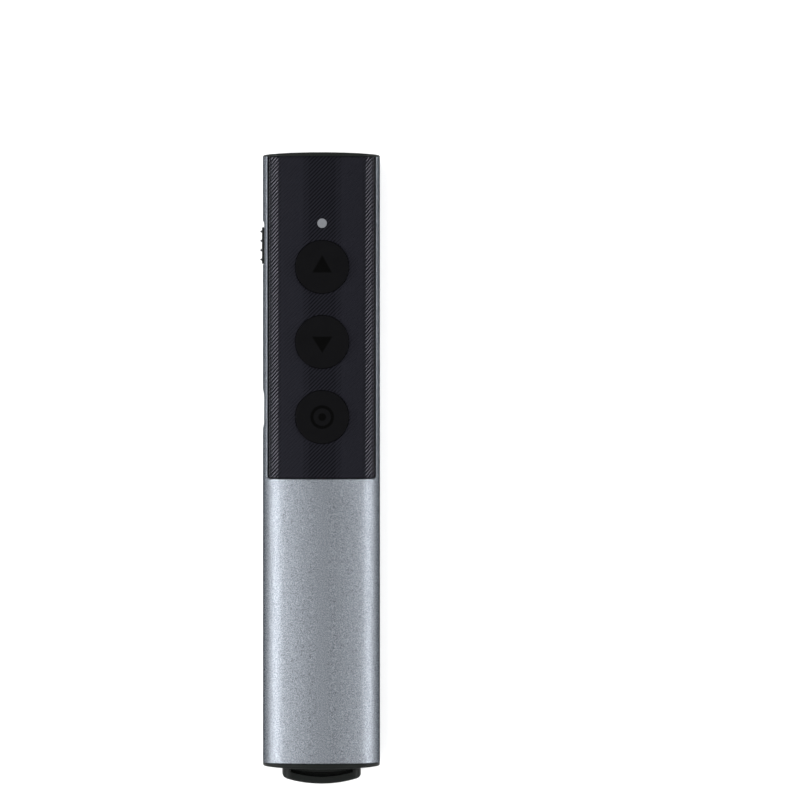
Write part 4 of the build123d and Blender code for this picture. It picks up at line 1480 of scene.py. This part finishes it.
@dataclass
class InnerParts:
    """The CAD nodes that keep their own meshes, each with its finish."""

    finishes: dict = field(
        default_factory=lambda: {
            Finishes.TRAY_ABS: "chassis receiver_bay power_switch_case",
            Finishes.MOULDED_ABS: "power_lever usb_socket_tongue",
            Finishes.RED_ACRYLIC: "laser_window",
            Finishes.TURNED_BRASS: "laser_barrel",
            Finishes.MOULDED_LENS: "laser_lens",
            Finishes.DRAWN_STEEL: "laser_diode board_screws usb_socket_shell "
            "receiver_plug_shell crystal up_switch down_switch laser_switch",
            Finishes.PAINTED_SHADE_LEAD_PVC: "laser_leads battery_leads",
            Finishes.SOLDER_MASK: "main_board receiver_board",
            Finishes.CHIP_EPOXY: "radio_chip charger_chip receiver_chip up_plunger "
            "down_plunger laser_plunger",
            Finishes.CHIP_CERAMIC: "antenna capacitors",
            Finishes.LAMP_WHITE: "indicator_led",
            Finishes.FOAM: "cell_pad",
            Finishes.CELL_FOIL: "battery_cell",
            Finishes.CONNECTOR_NYLON: "battery_header battery_plug receiver_tongue",
            Finishes.GOLD_PLATE: "receiver_contacts",
        }
    )

    def dress(self) -> None:
        """Gives each node the material of its finish."""
        for finish, nodes in self.finishes.items():
            for node in nodes.split():
                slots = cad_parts[node].data.materials
                slots.clear()
                slots.append(finish.value.material())
            LOG.info("%s dressed in %s", nodes, finish.value.name)


# ---------- floor, light and camera


@dataclass
class Studio:
    """A pale floor, strips and softboxes on each side, over each end and on top, a long lens.

    Each lamp is a name, the side that it stands on in X and Y, its elevation in degrees, its
    two sizes and its power in watts. Sizes are in metres, but the sensor's in millimetres.
    """

    distance: float = 0.62
    lamps: tuple = (
        ("left_strip", (-1, 0), 25.0, (0.05, 1.1), 7.2),
        ("right_strip", (1, 0), 23.0, (0.05, 1.1), 6.0),
        ("left_softbox", (-1, 0), 54.0, (0.44, 1.1), 5.0),
        ("right_softbox", (1, 0), 54.0, (0.44, 1.1), 2.7),
        ("overhead_softbox", (1, 0), 90.0, (0.36, 1.1), 0.3),
        ("nose_softbox", (0, 1), 35.0, (0.5, 0.3), 0.6),
        ("tail_softbox", (0, -1), 35.0, (0.5, 0.3), 0.5),
    )
    world_strength: float = 0.22
    floor_half: float = 3.0
    floor_level: float = -0.00002
    floor_white: float = 0.82
    floor_paper: str = "#d9d9d9"
    camera_x: float = -0.0358
    camera_y: float = 0.025
    camera_height: float = 1.5
    sensor: float = 36.0
    clip: tuple[float, float] = (0.05, 20.0)
    frame_width: float = 0.1877
    frame_x: float = 0.01844
    frame_y: float = 0.01405

    def floor(self) -> bpy.types.Object:
        """Lays the floor: white to the camera and in reflections, pale grey to the object.

        Returns:
            The floor.
        """
        mesh = bpy.data.meshes.new("floor")
        corners = ((-1, -1), (1, -1), (1, 1), (-1, 1))
        points = [(x * self.floor_half, y * self.floor_half, self.floor_level) for x, y in corners]
        mesh.from_pydata(points, [], [(0, 1, 2, 3)])
        floor = new_object("floor", mesh)
        material, tree = bare_material("matte_white_paper")
        rays = add_node(tree, "ShaderNodeLightPath").outputs
        seen = rays["Is Camera Ray"]
        for ray in ("Is Glossy Ray", "Is Transmission Ray"):
            links = {0: seen, 1: rays[ray]}
            seen = add_node(tree, "ShaderNodeMath", links, operation="MAXIMUM").outputs[0]
        white = (*[self.floor_white] * 3, 1.0)
        sheets = [
            add_node(tree, "ShaderNodeBsdfDiffuse", None, {"Color": colour}).outputs["BSDF"]
            for colour in (linear(self.floor_paper), white)
        ]
        mix = add_node(tree, "ShaderNodeMixShader", {0: seen, 1: sheets[0], 2: sheets[1]})
        add_node(tree, "ShaderNodeOutputMaterial", {"Surface": mix.outputs["Shader"]})
        mesh.materials.append(material)
        return floor

    def light(self) -> None:
        """Hangs the lamps, which face the clicker, and sets the dim grey world."""
        for name, (side_x, side_y), elevation, size, power in self.lamps:
            rise = math.radians(elevation)
            reach = self.distance * math.cos(rise)
            x, y, z = side_x * reach, side_y * reach, self.distance * math.sin(rise)
            data = bpy.data.lights.new(name, "AREA")
            data.shape = "RECTANGLE"
            data.size, data.size_y = size
            data.energy = power
            lamp = new_object(name, data)
            lamp.location = (x, y, z)
            lamp.rotation_euler = (-math.atan2(y, z), math.atan2(x, z), 0.0)
            lamp.visible_camera = False
        world = bpy.data.worlds.new("studio")
        world.use_nodes = True
        back = world.node_tree.nodes["Background"]
        back.inputs["Color"].default_value = linear("#ffffff")
        back.inputs["Strength"].default_value = self.world_strength
        bpy.context.scene.world = world

    def camera(self) -> None:
        """Hangs the camera above, a little to the left, and leans it to the frame's middle."""
        data = bpy.data.cameras.new("camera")
        data.sensor_width = self.sensor
        data.lens = self.sensor * (self.camera_height - MIDDLE_Z * MM) / self.frame_width
        data.clip_start, data.clip_end = self.clip
        camera = new_object("camera", data)
        camera.location = (self.camera_x, self.camera_y, self.camera_height)
        sight = Vector((self.frame_x, self.frame_y, MIDDLE_Z * MM)) - camera.location
        camera.rotation_euler = (
            math.atan2(sight.y, -sight.z), math.atan2(-sight.x, -sight.z), 0.0
        )
        bpy.context.scene.camera = camera

    def build(self) -> None:
        """Sets up the whole studio."""
        self.floor()
        self.light()
        self.camera()
        bpy.context.scene.view_settings.view_transform = "Standard"


# ---------- everything together


def main() -> None:
    """Builds and dresses the clicker, then sets up the studio."""
    logging.basicConfig(level=logging.INFO, format="%(name)s: %(message)s")
    InnerParts().dress()
    keys = [Key(name, y, sign) for (name, y), sign in zip(KEY_Y.items(), Sign)]
    nose = EndCap(
        "nose_dome", "nose_cap", face_y=NOSE_Y, outward=1.0, thickness=0.95, rise=0.45,
        opening=RoundedBox(1.8, 1.8, 1.799),
    )
    tail = EndCap(
        "tail_dome", "tail_cap", face_y=TAIL_Y, outward=-1.0, thickness=1.22, rise=0.47,
        opening=RoundedBox(9.35, 3.55, 2.2),
    )
    for part in (Tube(), Panel(), *keys, LightPipe(), nose, tail, Grip(), Knob(), Studio()):
        part.build()


if __name__ == "__main__":
    main()
